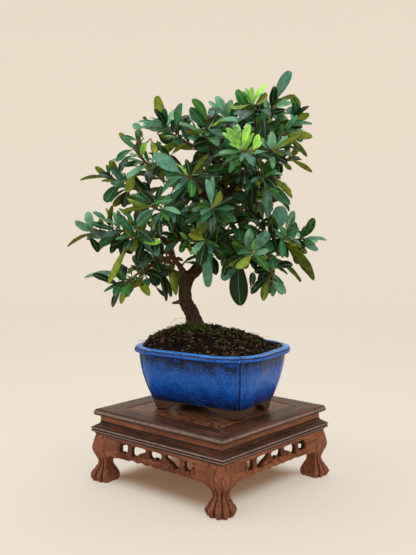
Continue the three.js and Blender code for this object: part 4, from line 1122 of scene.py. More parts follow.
def glaze():
    """Cobalt glaze over brown clay, darker towards the foot, grey-blue below the rim with a band of painted
    shade right under it.
    """
    material, tree, shader = new_material('cobalt_glaze', 0.2, Specular_IOR_Level=0.1)
    place = coordinates(tree)
    height = axis_of(place, 2)
    cloud = noise_of(place, 17, 3)
    runs = noise_of(coordinates(tree, (1, 1, 9)), 3.2, 3, 0.6)
    level = plus(height, reach(cloud, 0.3, 0.7, -5, 5))
    level = plus(level, reach(runs, 0.35, 0.65, -1, 1))
    # Darker towards the foot; near the top grey-blue, then near black right under the rim as painted shade
    # under its overhang
    colour = ramp(maths('DIVIDE', level, POT_HEIGHT), [
        (0.15, srgb(6, 22, 66)), (0.25, srgb(6, 48, 128)), (0.37, srgb(10, 68, 160)),
        (0.52, srgb(30, 92, 184)), (0.66, srgb(30, 88, 176)), (0.76, srgb(28, 68, 140)),
        (0.83, srgb(30, 48, 88)), (0.88, srgb(20, 26, 44)), (0.91, srgb(16, 56, 140)),
        (1, srgb(28, 88, 190)),
    ])
    rim = reach(height, BODY_TOP - 0.8, BODY_TOP + 0.4)
    rim_blue = blend(noise_of(place, 2.4, 3, 0.7), srgb(8, 54, 146), srgb(46, 124, 236))
    # Painted shade along the rim's lower edge
    lower = reach(height, BODY_TOP + 3, BODY_TOP + 1.4, 0, 0.9)
    rim_blue = blend(lower, rim_blue, srgb(6, 14, 36))
    # Painted highlight along the rim's top edge
    upper = reach(height, POT_HEIGHT - 1.9, POT_HEIGHT - 1)
    rim_blue = blend(upper, rim_blue, srgb(66, 146, 240))
    colour = blend(rim, colour, rim_blue)
    # Lighter mottling and dark specks
    mottle = noise_of(place, 1.3, 3, 0.75)
    pale_share = reach(mottle, 0.5, 0.74, 0, 0.42)
    colour = blend(pale_share, colour, srgb(92, 146, 214))
    for size in (1.3, 2.1):
        speck = reach(cells_of(place, size), 0.36, 0.22)
        cover = reach(noise_of(place, 7, 2), 0.35, 0.62, 0.15, 0.9)
        speck = times(speck, cover)
        colour = blend(speck, colour, srgb(6, 16, 50))
    # Milky runs with a painted sheen on the side that faces right
    side = reach(axis_of(place, 0), 62, 76)
    milky_runs_and_sheen = reach(runs, 0.42, 0.66, 0, 0.3)
    milky_runs_and_sheen = times(milky_runs_and_sheen, times(side, reach(height, 24, 40)))
    milky_runs_and_sheen = times(milky_runs_and_sheen, reach(height, BODY_TOP + 1, BODY_TOP - 2))
    colour = blend(milky_runs_and_sheen, colour, srgb(104, 118, 158))
    groove = attribute(tree, 'groove')
    # Darker down the middle of each corner, between its ridges
    corner_darkening = times(groove, reach(noise_of(place, 5, 2), 0.3, 0.6, 0.2, 0.75))
    colour = blend(corner_darkening, colour, srgb(8, 22, 66))
    # Painted highlight on each corner's two ridges
    ridge = away_from(groove, 0.62)
    ridge = times(reach(ridge, 0.26, 0.06, 0, 0.45), reach(cloud, 0.3, 0.6))
    colour = blend(ridge, colour, srgb(66, 128, 218))
    # Clay shows at the foot and along the rim's upper edge
    clay_noise = noise_of(place, 1.1, 3, 0.6)
    clay = blend(clay_noise, srgb(48, 34, 26), srgb(98, 76, 61))
    wobble = reach(noise_of(place, 4, 2), 0.3, 0.7, -0.3, 0.3)
    shore = plus(height, times(wobble, 1.7))
    bare = reach(shore, FOOT_HEIGHT + 1.2, FOOT_HEIGHT + 0.4)
    edge = away_from(plus(height, wobble), POT_HEIGHT - 2.3)
    edge = reach(edge, 0.95, 0.5, 0, 0.95)
    colour = blend(edge, colour, srgb(50, 32, 24))
    colour = blend(bare, colour, clay)
    put(shader.inputs['Base Color'], colour)
    rough = blend(bare, reach(mottle, 0.3, 0.8, 0.16, 0.34), (0.8, 0.8, 0.8, 1))
    put(shader.inputs['Roughness'], rough)
    bump(shader, plus(mottle, times(cloud, 3)), 0.12, 0.5)
    return material


def drain_plastic():
    material, tree, shader = new_material('drain_plastic', 0.5)
    place = coordinates(tree)
    dust = reach(noise_of(place, 2.4, 3), 0.45, 0.7)
    put(shader.inputs['Base Color'], blend(dust, srgb(40, 42, 42), srgb(78, 66, 54)))
    weave = maths('SINE', times(axis_of(place, 0), 4))
    bump(shader, weave, 0.08, 0.5)
    return material


def build_pot():
    *shell, grooves = pot_shell()
    pot = Gathered()
    pot.add(shell)
    for _, sign_x, sign_y in QUARTERS:
        pot.add(skin([foot_ring(level, sign_x, sign_y) for level in FOOT_LEVELS]))
    grooves += [0] * (len(pot.points) - len(grooves))
    data = pot.mesh('pot_glazed')
    add_attribute(data, 'groove', grooves)
    turn_outward(data)
    finish_piece('pot_glazed', data, [glaze()], ['pot'], 40, rigid(POT))
    plastic = drain_plastic()
    for side in ('left', 'right'):
        dress(f'drain_mesh_{side}', plastic)


# Soil: a crumbly mound, then loose crumbs, pale bits, root threads, sprouts and moss on it
MOUND_LEVELS = [(0, 1), (0.2, 1), (0.5, 0.82), (0.76, 0.55), (0.93, 0.27), (1, 0)]
MOUND_TILT = 0.065
MOUND_DROP = 1.3
MOUND_SPAN = 0.06
MOUND_ROWS = 44
SOIL_DROP = 10
FULL_TURN = 6.28
CRUMBS = 2900
THREADS = 150
SPROUTS = 140
MOSS_TUFTS = 900
CRUMB_SIZE = (0.7, 2.9)
peak_in_pot = TREE_TO_POT @ Vector((*TRUNK_CENTRE, 0))
rightward_in_pot = (TREE_TO_POT.to_3x3() @ Vector((1, 0, 0))).normalized()
SOIL_LIP = rim_ring(LIP_INSET - 0.2, 0)


def smooth_mound(share):
    """The share of the way up from the edge to the peak, at a share of the way in from the rim."""
    near = [min(1, max(0, share + MOUND_SPAN * step)) for step in (-1, -0.5, 0, 0.5, 1)]
    return sum(read_table(MOUND_LEVELS, place) for place in near) / len(near)


def mound_point(share, place):
    """A point of the mound: a share of the way from the trunk to a place along the rim."""
    here = int(place) % len(SOIL_LIP)
    lip = SOIL_LIP[here].lerp(SOIL_LIP[(here + 1) % len(SOIL_LIP)], place % 1)
    x, y = mix(peak_in_pot.x, lip.x, share), mix(peak_in_pot.y, lip.y, share)
    tilt = MOUND_TILT * Vector((x - peak_in_pot.x, y - peak_in_pot.y, 0)).dot(rightward_in_pot)
    height = mix(SOIL_EDGE, SOIL_PEAK, smooth_mound(share))
    spot = Vector((x, y, height - MOUND_DROP - tilt * share * min(1, (1 - share) * 8)))
    lumps = 1.7 * noise.noise(spot / 11) + 1.5 * noise.noise(spot / 4.2) + noise.noise(spot / 1.9)
    spot.z += lumps * min(1, (1 - share) * 12)
    return spot


def mound_draw(share, seed):
    return mound_point(share, chance(seed) * len(SOIL_LIP))


def soil_mound():
    rings = [[spot - Vector((0, 0, SOIL_DROP)) for spot in SOIL_LIP]]
    rings += [
        [mound_point(row / MOUND_ROWS, i) for i in range(len(SOIL_LIP))]
        for row in range(MOUND_ROWS, 0, -1)
    ]
    rings.append([mound_point(0, 0)])
    return skin(rings)


def crumb_blob(spot, size, seed):
    """A 20-sided crumb, squashed and turned at random."""
    golden = (1 + 5 ** 0.5) / 2
    corners = [
        (-1, golden, 0), (1, golden, 0), (-1, -golden, 0), (1, -golden, 0), (0, -1, golden), (0, 1, golden),
        (0, -1, -golden), (0, 1, -golden), (golden, 0, -1), (golden, 0, 1), (-golden, 0, -1), (-golden, 0, 1),
    ]
    faces = [
        (0, 11, 5), (0, 5, 1), (0, 1, 7), (0, 7, 10), (0, 10, 11), (1, 5, 9), (5, 11, 4), (11, 10, 2),
        (10, 7, 6), (7, 1, 8), (3, 9, 4), (3, 4, 2), (3, 2, 6), (3, 6, 8), (3, 8, 9), (4, 9, 5),
        (2, 4, 11), (6, 2, 10), (8, 6, 7), (9, 8, 1),
    ]
    turn = Matrix.Rotation(FULL_TURN * chance(seed), 3, 'Z')
    turn @= Matrix.Rotation(FULL_TURN * chance(seed + 1), 3, 'X')
    points = []
    for k, corner in enumerate(corners):
        point = turn @ Vector(corner)
        point *= size / 1.9 * (0.65 + 0.7 * chance(seed * 3 + k))
        point.z *= 0.75
        points.append(spot + point)
    return points, faces


# Looks of the soil's bits, in the order of their marks: [name, dark and pale colour, roughness]
EARTHS = [
    ('earth', (6, 4, 3), (40, 30, 22), 0.95),
    ('pale_grit', (130, 88, 50), (196, 158, 110), 0.85),
    ('bark_chip', (86, 48, 26), (140, 84, 48), 0.85),
    ('root_thread', (96, 78, 54), (170, 146, 106), 0.85),
    ('sprout', (44, 80, 26), (112, 140, 60), 0.6),
    ('moss', (24, 52, 8), (84, 116, 26), 0.8),
    ('loam', (24, 18, 12), (108, 88, 62), 0.95),
    ('dry_crumb', (66, 54, 40), (146, 126, 96), 0.95),
]
EARTH, GRIT, CHIP, THREAD, SPROUT, MOSS, LOAM, DRY = range(len(EARTHS))
# The crumbs' looks, each up to a share of the draw
CRUMB_SHARES = ((0.46, EARTH), (0.85, LOAM), (0.945, DRY), (0.98, CHIP), (1, GRIT))


def scatter_crumbs(soil):
    for k in range(CRUMBS):
        share = sqrt(mix(0.02, 0.97, chance(k * 1.7 + 3)))
        spot = mound_draw(share, k * 2.3 + 11)
        size = mix(*CRUMB_SIZE, chance(k * 3.1 + 5) ** 2.2)
        draw = chance(k * 5.3 + 17)
        mark = next(mark for share, mark in CRUMB_SHARES if draw <= share)
        size *= 0.6 if mark in (GRIT, CHIP) else 0.75 if mark == DRY else 1
        soil.add(crumb_blob(spot, size, k * 7.7), mark)


# A thin root that arches up beside the trunk, in the plant's frame: [x, z]
LOOSE_ROOT = [
    (-50, 184), (-48.3, 190.4), (-44.7, 194.1), (-39.9, 196.1), (-34, 196.5), (-28, 193.5), (-25.6, 188),
]
LOOSE_ROOT_DEPTH = -8
LOOSE_ROOT_RADIUS = 0.2


def scatter_threads(soil):
    """Fine roots and bits of grass that lie on the soil."""
    for k in range(THREADS):
        share = sqrt(mix(0.05, 0.9, chance(k * 4.1 + 23)))
        start = mound_draw(share, k * 6.7 + 29) + Vector((0, 0, 0.5))
        heading = FULL_TURN * chance(k * 3.3 + 31)
        length = mix(4, 12, chance(k * 2.9 + 37))
        path = []
        for step in range(6):
            bend = heading + 1.3 * (chance(k + 0.5) - 0.5) * step
            rise = 1.6 * sin(pi * step / 5) * chance(k * 8.1)
            start = start + Vector((cos(bend), sin(bend), 0)) * length / 5
            path.append(start + Vector((0, 0, rise)))
        thick = mix(0.14, 0.3, chance(k * 9.7))
        soil.add(strand(path, [thick * 0.5] + [thick] * 4 + [thick * 0.4]), THREAD)
    arch = [TREE_TO_POT @ Vector((x, LOOSE_ROOT_DEPTH, z)) for x, z in LOOSE_ROOT]
    soil.add(strand(arch, [LOOSE_ROOT_RADIUS] * len(arch)), THREAD)


# A sprout's leaf: how far up the stem and how far out each of its points lies
SPROUT_WING = ((0.7, 0), (0.8, 0.6), (1, 1))


def scatter_sprouts(soil):
    """Seedlings and moss stems, most of them near the trunk."""
    for k in range(SPROUTS):
        share = mix(0.06, 0.85, chance(k * 4.7 + 41))
        spot = mound_draw(share, k * 5.9 + 43)
        lean = Vector((chance(k * 1.3) - 0.5, chance(k * 1.9) - 0.5, 1.1)).normalized()
        height = mix(1.6, 4.6, chance(k * 2.1 + 47))
        path = [spot, spot + lean * height * 0.6, spot + lean * height + Vector((0.5, 0.3, -0.2))]
        soil.add(strand(path, [0.32, 0.26, 0.08], 4), SPROUT)
        for side in (-1, 1):
            wing = Vector((side * 1.5, chance(k * 7.3) - 0.5, 0.5))
            path = [spot + lean * height * rise + wing * out for rise, out in SPROUT_WING]
            soil.add(strand(path, [0.14, 0.42, 0.05], 4), SPROUT)


def scatter_moss(soil):
    """A cushion of moss at the trunk's left and front, and sparser tufts round it."""
    left = -rightward_in_pot
    front = (TREE_TO_POT.to_3x3() @ Vector((0, -1, 0))).normalized()
    for k in range(MOSS_TUFTS):
        turn = FULL_TURN * chance(k * 1.1 + 53)
        way = Vector((cos(turn), sin(turn), 0))
        favour = way.dot((left + front).normalized())
        distance = mix(9, 16 + 14 * max(0, favour), chance(k * 2.7 + 59) ** 1.3)
        spot = peak_in_pot + way * distance
        share = min(0.9, distance / max(20, lip_distance(turn)))
        base = mound_point(share, lip_place(turn))
        spot = Vector((spot.x, spot.y, base.z - 0.3))
        height = mix(0.9, 2.6, chance(k * 3.9 + 61))
        for blade in range(3):
            lean = Vector((chance(k * 7 + blade) - 0.5, chance(k * 11 + blade) - 0.5, 0.8)).normalized()
            path = [spot, spot + lean * height * 0.5, spot + lean * height]
            soil.add(strand(path, [0.42, 0.34, 0.06]), MOSS)


def lip_place(turn):
    """The place along the rim that a bearing from the trunk points to."""
    bearings = [atan2(lip.y - peak_in_pot.y, lip.x - peak_in_pot.x) for lip in SOIL_LIP]
    gaps = [abs((bearing - turn + pi) % (2 * pi) - pi) for bearing in bearings]
    return gaps.index(min(gaps))


def lip_distance(turn):
    lip = SOIL_LIP[lip_place(turn)]
    return hypot(lip.x - peak_in_pot.x, lip.y - peak_in_pot.y)


def build_soil():
    soil = Gathered()
    soil.add(soil_mound())
    scatter_crumbs(soil)
    scatter_threads(soil)
    scatter_sprouts(soil)
    scatter_moss(soil)
    looks = [grainy(name, srgb(*dark), srgb(*pale), rough=rough) for name, dark, pale, rough in EARTHS]
    data = soil.mesh('soil_crumbly')
    turn_outward(data)
    finish_piece('soil_crumbly', data, looks, ['soil'], 60, rigid(POT))


# Trunk and limbs, each a path of points with its radius there: [x, y, z, radius]
LIMBS = {
    'trunk': [
        (-19, 3, 157, 13), (-19, 3, 179, 11.4), (-22, 2, 197, 9.2), (-29, 1, 211, 8.2), (-32, 0, 224, 7.6),
        (-30, 0, 240, 7.8), (-19, 2, 253, 7), (-7, 6, 270, 6.6), (1, 10, 290, 6.4), (7, 12, 315, 6.2),
        (17, 8, 337, 6.4), (30, 5, 352, 6.2), (43, 4, 367, 5.6), (52, 8, 384, 4.4), (59, 12, 404, 3.4),
        (64, 12, 423, 2.4),
    ],
    'left_low': [
        (-31, 0, 246, 4.5), (-40, -6, 261, 3), (-48, -12, 271, 2.6), (-51, -18, 282, 2.3),
        (-54, -22, 290, 2.6), (-64, -26, 295, 2), (-77, -25, 297, 1.7),
    ],
    'knob_twig': [(-51, -20, 286, 1.8), (-41, -27, 290, 1.4)],
    'lower_left': [(-48, -12, 269, 2.2), (-65, -18, 263, 1.9), (-76, -22, 257, 1.7)],
    'dead_stub': [(-32, 0, 216, 4), (-47, -6, 214, 1.3)],
    'thin_side': [(-15, 3, 259, 2.4), (-19, -4, 269, 1.4), (-25, -10, 280, 1.3), (-28, -13, 285, 1.1)],
    'left_mid': [(3, 10, 291, 5), (-14, 4, 306, 3.6), (-34, 2, 320, 3.2), (-56, -2, 333, 2.6)],
    'left_upper': [(8, 12, 317, 5), (-7, 8, 340, 3.7), (-24, 0, 357, 3), (-43, -6, 369, 2.3)],
    'top_left': [(28, 5, 351, 5), (12, 6, 371, 3.3), (-5, 4, 387, 2.7), (-20, 0, 399, 2.2)],
    'top_mid': [(45, 5, 370, 4), (37, 10, 395, 2.6)],
    'right_up': [(53, 8, 387, 3.8), (69, 8, 401, 2.4)],
    'right_low': [(3, 10, 293, 4.6), (22, 6, 299, 3.2), (43, -2, 300, 2.7), (64, -7, 298, 2.2)],
    'front_low': [(18, 6, 299, 3.2), (20, -12, 284, 2.3)],
}

# Leafy shoots: the twig's points and its radius at both ends, the side its leaves lean to
# (-1 is the front, 1 the back), how many leaves are placed by rule, and the leaves seen from the
# front: [place along the twig, reach to the right, reach up, seen width, tone]
Shoot = namedtuple('Shoot', 'twig radii lean extra leaves', defaults=[()])
SHOOTS = {
    'top_left_tip': Shoot([(-20, 0, 399), (-34, 6, 406), (-47, 12, 413), (-57, 16, 426)], (2.2, 1), -1, 3, [
        (1, -11, 36, 12, 'olive'), (0.95, -1, 19, 10, 'teal'), (0.9, -13, 19, 7, 'dark'),
        (0.85, -29, 9, 6, 'teal'), (0.75, -40, 6, 5, 'teal'), (0.35, -12, -2, 11, 'teal'),
        (0.45, -21, -16, 10, 'olive'), (0.55, 2, 23, 6, 'teal'), (0.5, -2, 17, 4, 'teal'),
        (0.25, -1, 18, 5, 'teal'), (0.3, 6, 33, 4, 'dark'), (0.7, -26, 4, 6, 'mint'),
        (0.65, -29, 24, 5, 'teal'), (0.6, -42, 16, 5, 'teal'),
    ]),
    'left_top': Shoot(
        [(-43, -6, 369), (-61, -18, 374), (-75, -26, 378), (-89, -36, 394)], (2.2, 1), -1, 4, [
            (1, -19, 21, 7, 'olive'), (0.9, -14, 15, 5, 'teal'), (0.85, -4, 27, 6, 'teal'),
            (0.8, 6, 16, 7, 'bright'), (0.7, -15, 19, 6, 'teal'), (0.65, -43, 2, 4, 'teal'),
            (0.55, -31, 1, 4, 'teal'), (0.5, 4, -1, 8, 'teal'), (0.35, -3, -9, 8, 'dark'),
            (0.4, 8, -11, 7, 'olive'),
        ],
    ),
    'left_high': Shoot([(-56, -2, 333), (-86, 6, 348), (-103, 10, 352), (-126, 14, 367)], (2.4, 1), -1, 4, [
        (0.8, -7, 25, 10, 'olive'), (1, -17, 11, 7, 'olive'), (0.95, -16, 2, 5, 'olive'),
        (0.85, -42, 0, 4, 'olive'), (0.75, -23, 2, 4, 'olive'), (0.6, -21, 6, 8, 'slate'),
        (0.65, -28, -10, 4, 'teal'), (0.4, -14, 21, 13, 'olive'), (0.25, -40, 23, 7, 'olive'),
        (0.45, 6, -31, 20, 'teal'), (0.35, -27, -14, 10, 'olive'), (0.55, -23, -21, 10, 'olive'),
    ]),
    'left_end': Shoot(
        [(-77, -25, 297), (-92, -22, 297), (-107, -20, 301), (-126, -17, 298), (-142, -15, 300)],
        (1.7, 1), -1, 3, [
            (0.65, 3, 31, 5, 'olive'), (0.6, -10, 27, 5, 'olive'), (0.35, -10, 25, 7, 'teal'),
            (1, -19, 12, 10, 'mint'), (0.95, -8, 23, 11, 'mint'), (0.8, -19, 4, 6, 'olive'),
            (0.85, -37, -18, 4, 'olive'), (0.75, -21, -8, 6, 'teal'), (0.45, -27, -18, 11, 'teal'),
            (0.4, -32, -23, 6, 'olive'), (0.25, -23, -14, 16, 'dark'), (0.55, -29, 10, 7, 'teal'),
        ],
    ),
    'left_low': Shoot([(-68, -26, 296), (-80, -42, 295), (-91, -56, 291)], (1.6, 1), -1, 4, [
        (1, -11, -11, 5, 'teal'), (0.7, 26, -4, 10, 'bright'), (0.65, -7, -14, 13, 'olive'),
        (0.9, -22, -44, 6, 'olive'), (0.8, -11, 18, 8, 'teal'), (0.85, -19, -26, 5, 'slate'),
    ]),
    'left_lower': Shoot([(-76, -22, 257), (-89, -32, 249), (-103, -42, 237)], (1.6, 1), -1, 3, [
        (0.55, -56, 1, 5, 'slate'), (0.6, -33, 8, 5, 'slate'), (0.85, -25, -10, 4, 'teal'),
        (0.4, -16, -27, 11, 'teal'), (1, -13, -25, 7, 'dark'), (0.9, -4, -22, 7, 'olive'),
        (0.75, -10, 16, 7, 'teal'), (0.45, 16, -24, 10, 'olive'), (0.7, -20, -6, 6, 'dark'),
    ]),
    'knob_tuft': Shoot([(-41, -27, 290), (-29, -36, 290), (-23, -42, 292)], (1.3, 0.9), -1, 0, [
        (0.8, -10, 9, 5, 'bright'), (0.95, 9, -7, 5, 'olive'), (0.85, 0, -13, 5, 'olive'),
    ]),
    'low_back': Shoot([(-40, -4, 261), (-53, 14, 262), (-66, 28, 261), (-79, 40, 252)], (2, 1), 1, 4, [
        (0.7, 40, -41, 14, 'olive'), (0.85, 24, -39, 7, 'dark'), (0.8, 15, -45, 6, 'dark'),
        (1, 9, -25, 13, 'dark'), (0.9, -19, 15, 10, 'dark'),
    ]),
    'front_left': Shoot(
        [(-38, 0, 321), (-48, -36, 322), (-58, -64, 325), (-68, -82, 330)], (2.2, 1), -1, 4, [
            (0.85, 6, 25, 7, 'dark'), (1, -34, -6, 6, 'olive'), (0.65, -15, -16, 7, 'olive'),
            (0.9, -18, -20, 10, 'teal'), (0.7, 11, -17, 10, 'dark'), (0.8, -20, 21, 10, 'dark'),
            (0.55, 13, 9, 8, 'teal'),
        ],
    ),
    'mid_left_front': Shoot(
        [(-24, 0, 357), (-24, -28, 357), (-25, -54, 360), (-25, -70, 362)], (2.2, 1), -1, 4, [
            (0.8, -37, 22, 16, 'teal'), (1, -26, 0, 6, 'teal'), (0.7, -14, 16, 6, 'bright'),
            (0.85, 20, 27, 7, 'olive'), (0.5, -33, -34, 8, 'teal'), (0.4, -22, -58, 12, 'teal'),
            (0.55, 7, -21, 8, 'dark'), (0.65, 18, 9, 7, 'dark'), (0.9, -4, 20, 7, 'dark'),
        ],
    ),
    'centre_front': Shoot([(7, 10, 316), (3, -28, 321), (0, -62, 326), (-1, -86, 328)], (2.4, 1), -1, 4, [
        (1, -6, 32, 8, 'slate'), (0.9, 1, 35, 8, 'slate'), (0.5, -30, 3, 8, 'olive'),
        (0.8, -30, -14, 10, 'teal'), (0.55, 2, -20, 12, 'teal'), (0.65, 26, -11, 10, 'teal'),
        (0.2, 42, 28, 10, 'teal'), (0.85, 22, 13, 8, 'dark'), (0.7, -15, -26, 11, 'olive'),
    ]),
    'lower_centre': Shoot([(-5, 6, 274), (-6, -26, 283), (-7, -52, 290), (-7, -66, 293)], (2.2, 1), -1, 4, [
        (0.9, -6, -26, 14, 'dark'), (0.55, 2, -49, 13, 'slate'), (1, -19, 7, 7, 'olive'),
        (0.85, -16, 14, 10, 'olive'), (0.7, 18, -11, 10, 'dark'), (0.65, -19, -12, 7, 'bright'),
        (0.8, 10, 15, 8, 'dark'),
    ]),
    'front_low': Shoot([(20, -12, 284), (31, -40, 277), (41, -66, 276), (45, -84, 279)], (2.2, 1), -1, 4, [
        (0.35, -28, -1, 12, 'green'), (0.5, -22, -31, 14, 'slate'), (0.4, 2, -62, 22, 'dark'),
        (0.7, 2, 29, 13, 'mint'), (1, 18, 24, 13, 'slate'), (0.9, 5, 16, 6, 'bright'),
        (0.85, 19, 5, 7, 'mint'), (0.8, 18, -10, 7, 'teal'), (0.65, -22, -14, 13, 'dark'),
        (0.55, -12, 14, 11, 'green'),
    ]),
    'front_low_right': Shoot(
        [(57, -5, 299), (63, -28, 284), (65, -50, 265), (69, -60, 247)], (2, 1), -1, 3, [
            (0.75, 1, -33, 13, 'dark'), (1, 16, -19, 5, 'teal'), (0.55, 38, -32, 5, 'olive'),
            (0.7, -11, -27, 11, 'dark'), (0.85, 14, -16, 7, 'teal'), (0.6, -11, -5, 8, 'dark'),
            (0.9, -10, -30, 10, 'olive'),
        ],
    ),
    'right_low': Shoot([(51, -4, 299), (68, -28, 296), (82, -46, 296), (85, -56, 296)], (2, 1), -1, 4, [
        (0.65, 43, -51, 12, 'olive'), (1, -8, 11, 7, 'teal'), (0.9, -12, 5, 7, 'teal'),
        (0.85, 15, 10, 7, 'teal'), (0.8, 20, -12, 8, 'olive'), (0.55, 4, -16, 8, 'dark'),
        (0.7, 10, -25, 8, 'dark'), (0.5, -2, 16, 11, 'dark'),
    ]),
    'right_end': Shoot([(64, -7, 298), (81, -2, 293), (98, 2, 290), (113, 5, 291)], (2, 1), -1, 2, [
        (0.8, 24, -13, 8, 'slate'), (1, 28, -1, 4, 'slate'), (0.9, 12, 25, 11, 'green'),
        (0.7, 1, 21, 7, 'teal'), (0.85, 4, 16, 7, 'teal'), (0.65, 18, -17, 8, 'olive'),
    ]),
    'right_mid': Shoot([(41, 4, 363), (49, -24, 361), (55, -48, 363), (59, -64, 362)], (2.2, 1), -1, 4, [
        (0.8, 32, -31, 13, 'teal'), (0.5, 40, -36, 6, 'olive'), (1, 31, -23, 6, 'olive'),
        (0.4, 34, 9, 5, 'olive'), (0.7, 24, -1, 5, 'teal'), (0.65, -1, -18, 10, 'dark'),
        (0.35, -2, -30, 11, 'dark'), (0.9, 5, -46, 11, 'slate'), (0.55, -13, -13, 10, 'teal'),
        (0.85, 13, -12, 10, 'dark'),
    ]),
    'big_left_blade': Shoot([(39, 4, 366), (39, -26, 370), (37, -50, 369)], (2, 1), -1, 2, [
        (0.55, -50, -1, 11, 'olive'), (0.5, -25, -15, 8, 'dark'), (0.35, -9, -18, 7, 'dark'),
        (0.4, 16, -10, 8, 'dark'),
    ]),
    'right_twig': Shoot([(47, 4, 375), (58, -12, 376), (75, -24, 382), (90, -32, 384)], (2, 0.9), -1, 2, [
        (0.9, 12, 12, 7, 'olive'), (1, 28, -14, 5, 'olive'), (0.7, 2, -18, 7, 'dark'),
        (0.8, 10, -11, 6, 'olive'), (0.85, 19, 2, 5, 'dark'),
    ]),
    'young_front': Shoot([(44, 4, 372), (36, -28, 378), (32, -54, 385), (33, -76, 391)], (2.2, 1), -1, 3, [
        (1, -22, 20, 6, 'bright'), (0.9, -10, 30, 8, 'mint'), (0.65, 5, 35, 11, 'bright'),
        (0.5, -21, 14, 6, 'bright'), (0.8, 8, 21, 7, 'bright'), (0.55, 18, 19, 8, 'bright'),
        (0.85, -8, 15, 7, 'mint'), (0.7, 14, 27, 7, 'bright'), (0.4, -16, 0, 7, 'bright'),
    ]),
    'right_inner': Shoot([(57, 10, 396), (62, -18, 394), (65, -38, 391), (67, -54, 392)], (2, 1), -1, 4, [
        (1, -2, 20, 11, 'mint'), (0.9, 18, 17, 8, 'mint'), (0.85, 13, 11, 6, 'dark'),
        (0.8, 35, 20, 5, 'olive'), (0.65, -30, 24, 6, 'olive'), (0.7, 21, -13, 8, 'dark'),
        (0.55, -11, -11, 8, 'teal'),
    ]),
    'right_top': Shoot([(69, 8, 401), (83, 16, 417), (95, 24, 430), (103, 28, 437)], (2.2, 1), -1, 4, [
        (1, -6, 29, 7, 'green'), (0.9, -2, 17, 11, 'teal'), (0.85, 19, 8, 8, 'olive'),
        (0.8, 17, 16, 5, 'dark'), (0.7, 28, 1, 5, 'teal'), (0.65, 15, -2, 8, 'dark'),
        (0.55, 6, -7, 10, 'dark'), (0.5, -2, 22, 8, 'dark'),
    ]),
    'right_upper': Shoot(
        [(60, 12, 408), (70, -4, 412), (79, -16, 413), (85, -28, 411)], (1.8, 0.9), -1, 3, [
            (1, 31, -2, 10, 'olive'), (0.9, -6, 9, 10, 'green'), (0.65, -14, 8, 6, 'teal'),
            (0.85, 19, -14, 6, 'olive'), (0.8, 30, -25, 5, 'olive'), (0.7, -5, -14, 10, 'dark'),
        ],
    ),
    'top_tip': Shoot([(64, 12, 423), (67, 12, 440), (72, 13, 450)], (2.2, 1), -1, 3, [
        (1, 21, 41, 13, 'slate'), (0.9, 28, 13, 6, 'teal'), (0.85, 23, 5, 7, 'mint'),
        (0.7, 21, -16, 11, 'mint'), (0.5, 2, -10, 8, 'olive'), (0.55, -11, 26, 7, 'mint'),
        (0.8, 3, 24, 10, 'dark'), (0.65, 15, -2, 8, 'dark'), (0.4, -13, 4, 7, 'teal'),
    ]),
    'top_left_2': Shoot([(60, 12, 413), (52, 0, 423), (47, -12, 438), (44, -20, 447)], (1.8, 0.9), -1, 4, [
        (0.65, -17, 24, 8, 'olive'), (1, 0, 22, 6, 'bright'), (0.9, 16, 27, 6, 'bright'),
        (0.85, -7, 24, 6, 'bright'), (0.8, 15, 21, 6, 'olive'), (0.7, -20, 28, 11, 'green'),
        (0.5, -17, 5, 10, 'teal'), (0.55, 8, 20, 8, 'dark'),
    ]),
    'top_mid': Shoot([(37, 10, 395), (28, 8, 412), (21, 6, 421), (17, 4, 434)], (2.2, 1), -1, 4, [
        (0.9, -23, 23, 7, 'mint'), (0.75, 10, 27, 11, 'green'), (0.85, -22, 6, 12, 'teal'),
        (0.55, 15, 16, 8, 'dark'), (0.7, -39, -1, 6, 'mint'), (0.45, 0, -2, 8, 'teal'),
        (0.6, -14, 34, 8, 'teal'), (0.4, -21, -2, 10, 'dark'),
    ]),
    'top_mid_left': Shoot([(-1, 4, 384), (-4, -16, 402), (-6, -34, 415), (-5, -42, 423)], (2.2, 1), -1, 4, [
        (0.9, -20, 21, 13, 'teal'), (1, -12, 22, 6, 'dark'), (0.8, -25, 0, 7, 'olive'),
        (0.85, 8, 24, 8, 'dark'), (0.65, 16, 14, 8, 'teal'), (0.55, -17, -7, 11, 'dark'),
        (0.5, 14, -10, 11, 'dark'), (0.4, -13, -8, 10, 'teal'), (0.7, -11, 19, 8, 'dark'),
    ]),
    'back_left': Shoot([(-1, 12, 293), (-17, 40, 304), (-40, 64, 316), (-60, 84, 326)], (2.6, 1), 1, 12),
    'back_right': Shoot([(10, 13, 321), (30, 40, 327), (53, 64, 332), (75, 84, 337)], (2.6, 1), 1, 12),
    'back_up': Shoot([(28, 6, 351), (21, 36, 376), (12, 58, 399), (2, 74, 417)], (2.6, 1), 1, 12),
    'back_top': Shoot([(59, 13, 406), (61, 36, 422), (62, 54, 440)], (2.2, 1), 1, 11),
    'back_mid': Shoot([(17, 10, 337), (5, 42, 349), (-7, 70, 362), (-18, 94, 375)], (2.6, 1), 1, 12),
    'back_low': Shoot([(1, 12, 289), (13, 40, 282), (28, 66, 276)], (2.4, 1), 1, 11),
    'back_left_high': Shoot(
        [(-10, 8, 342), (-27, 36, 349), (-50, 58, 356), (-68, 74, 364)], (2.4, 1), 1, 11,
    ),
}

# The crown's outline and the gaps in it, as seen from the front: [x, z] and [x, z, radius]
CROWN_OUTLINE = [
    (-147, 364), (-128, 385), (-111, 395), (-97, 421), (-73, 447), (-32, 450), (-1, 458), (27, 465),
    (58, 467), (85, 472), (103, 454), (110, 431), (110, 407), (104, 384), (92, 363), (97, 337), (105, 311),
    (129, 292), (120, 263), (101, 247), (87, 230), (60, 222), (40, 217), (16, 237), (-8, 244), (-19, 263),
    (-40, 256), (-52, 229), (-74, 227), (-100, 222), (-119, 222), (-134, 246), (-143, 262), (-157, 284),
    (-159, 305), (-133, 330), (-128, 348),
]
CROWN_GAPS = [(-31, 388, 11), (-49, 400, 7), (-68, 354, 7), (-56, 346, 7), (-65, 328, 7)]


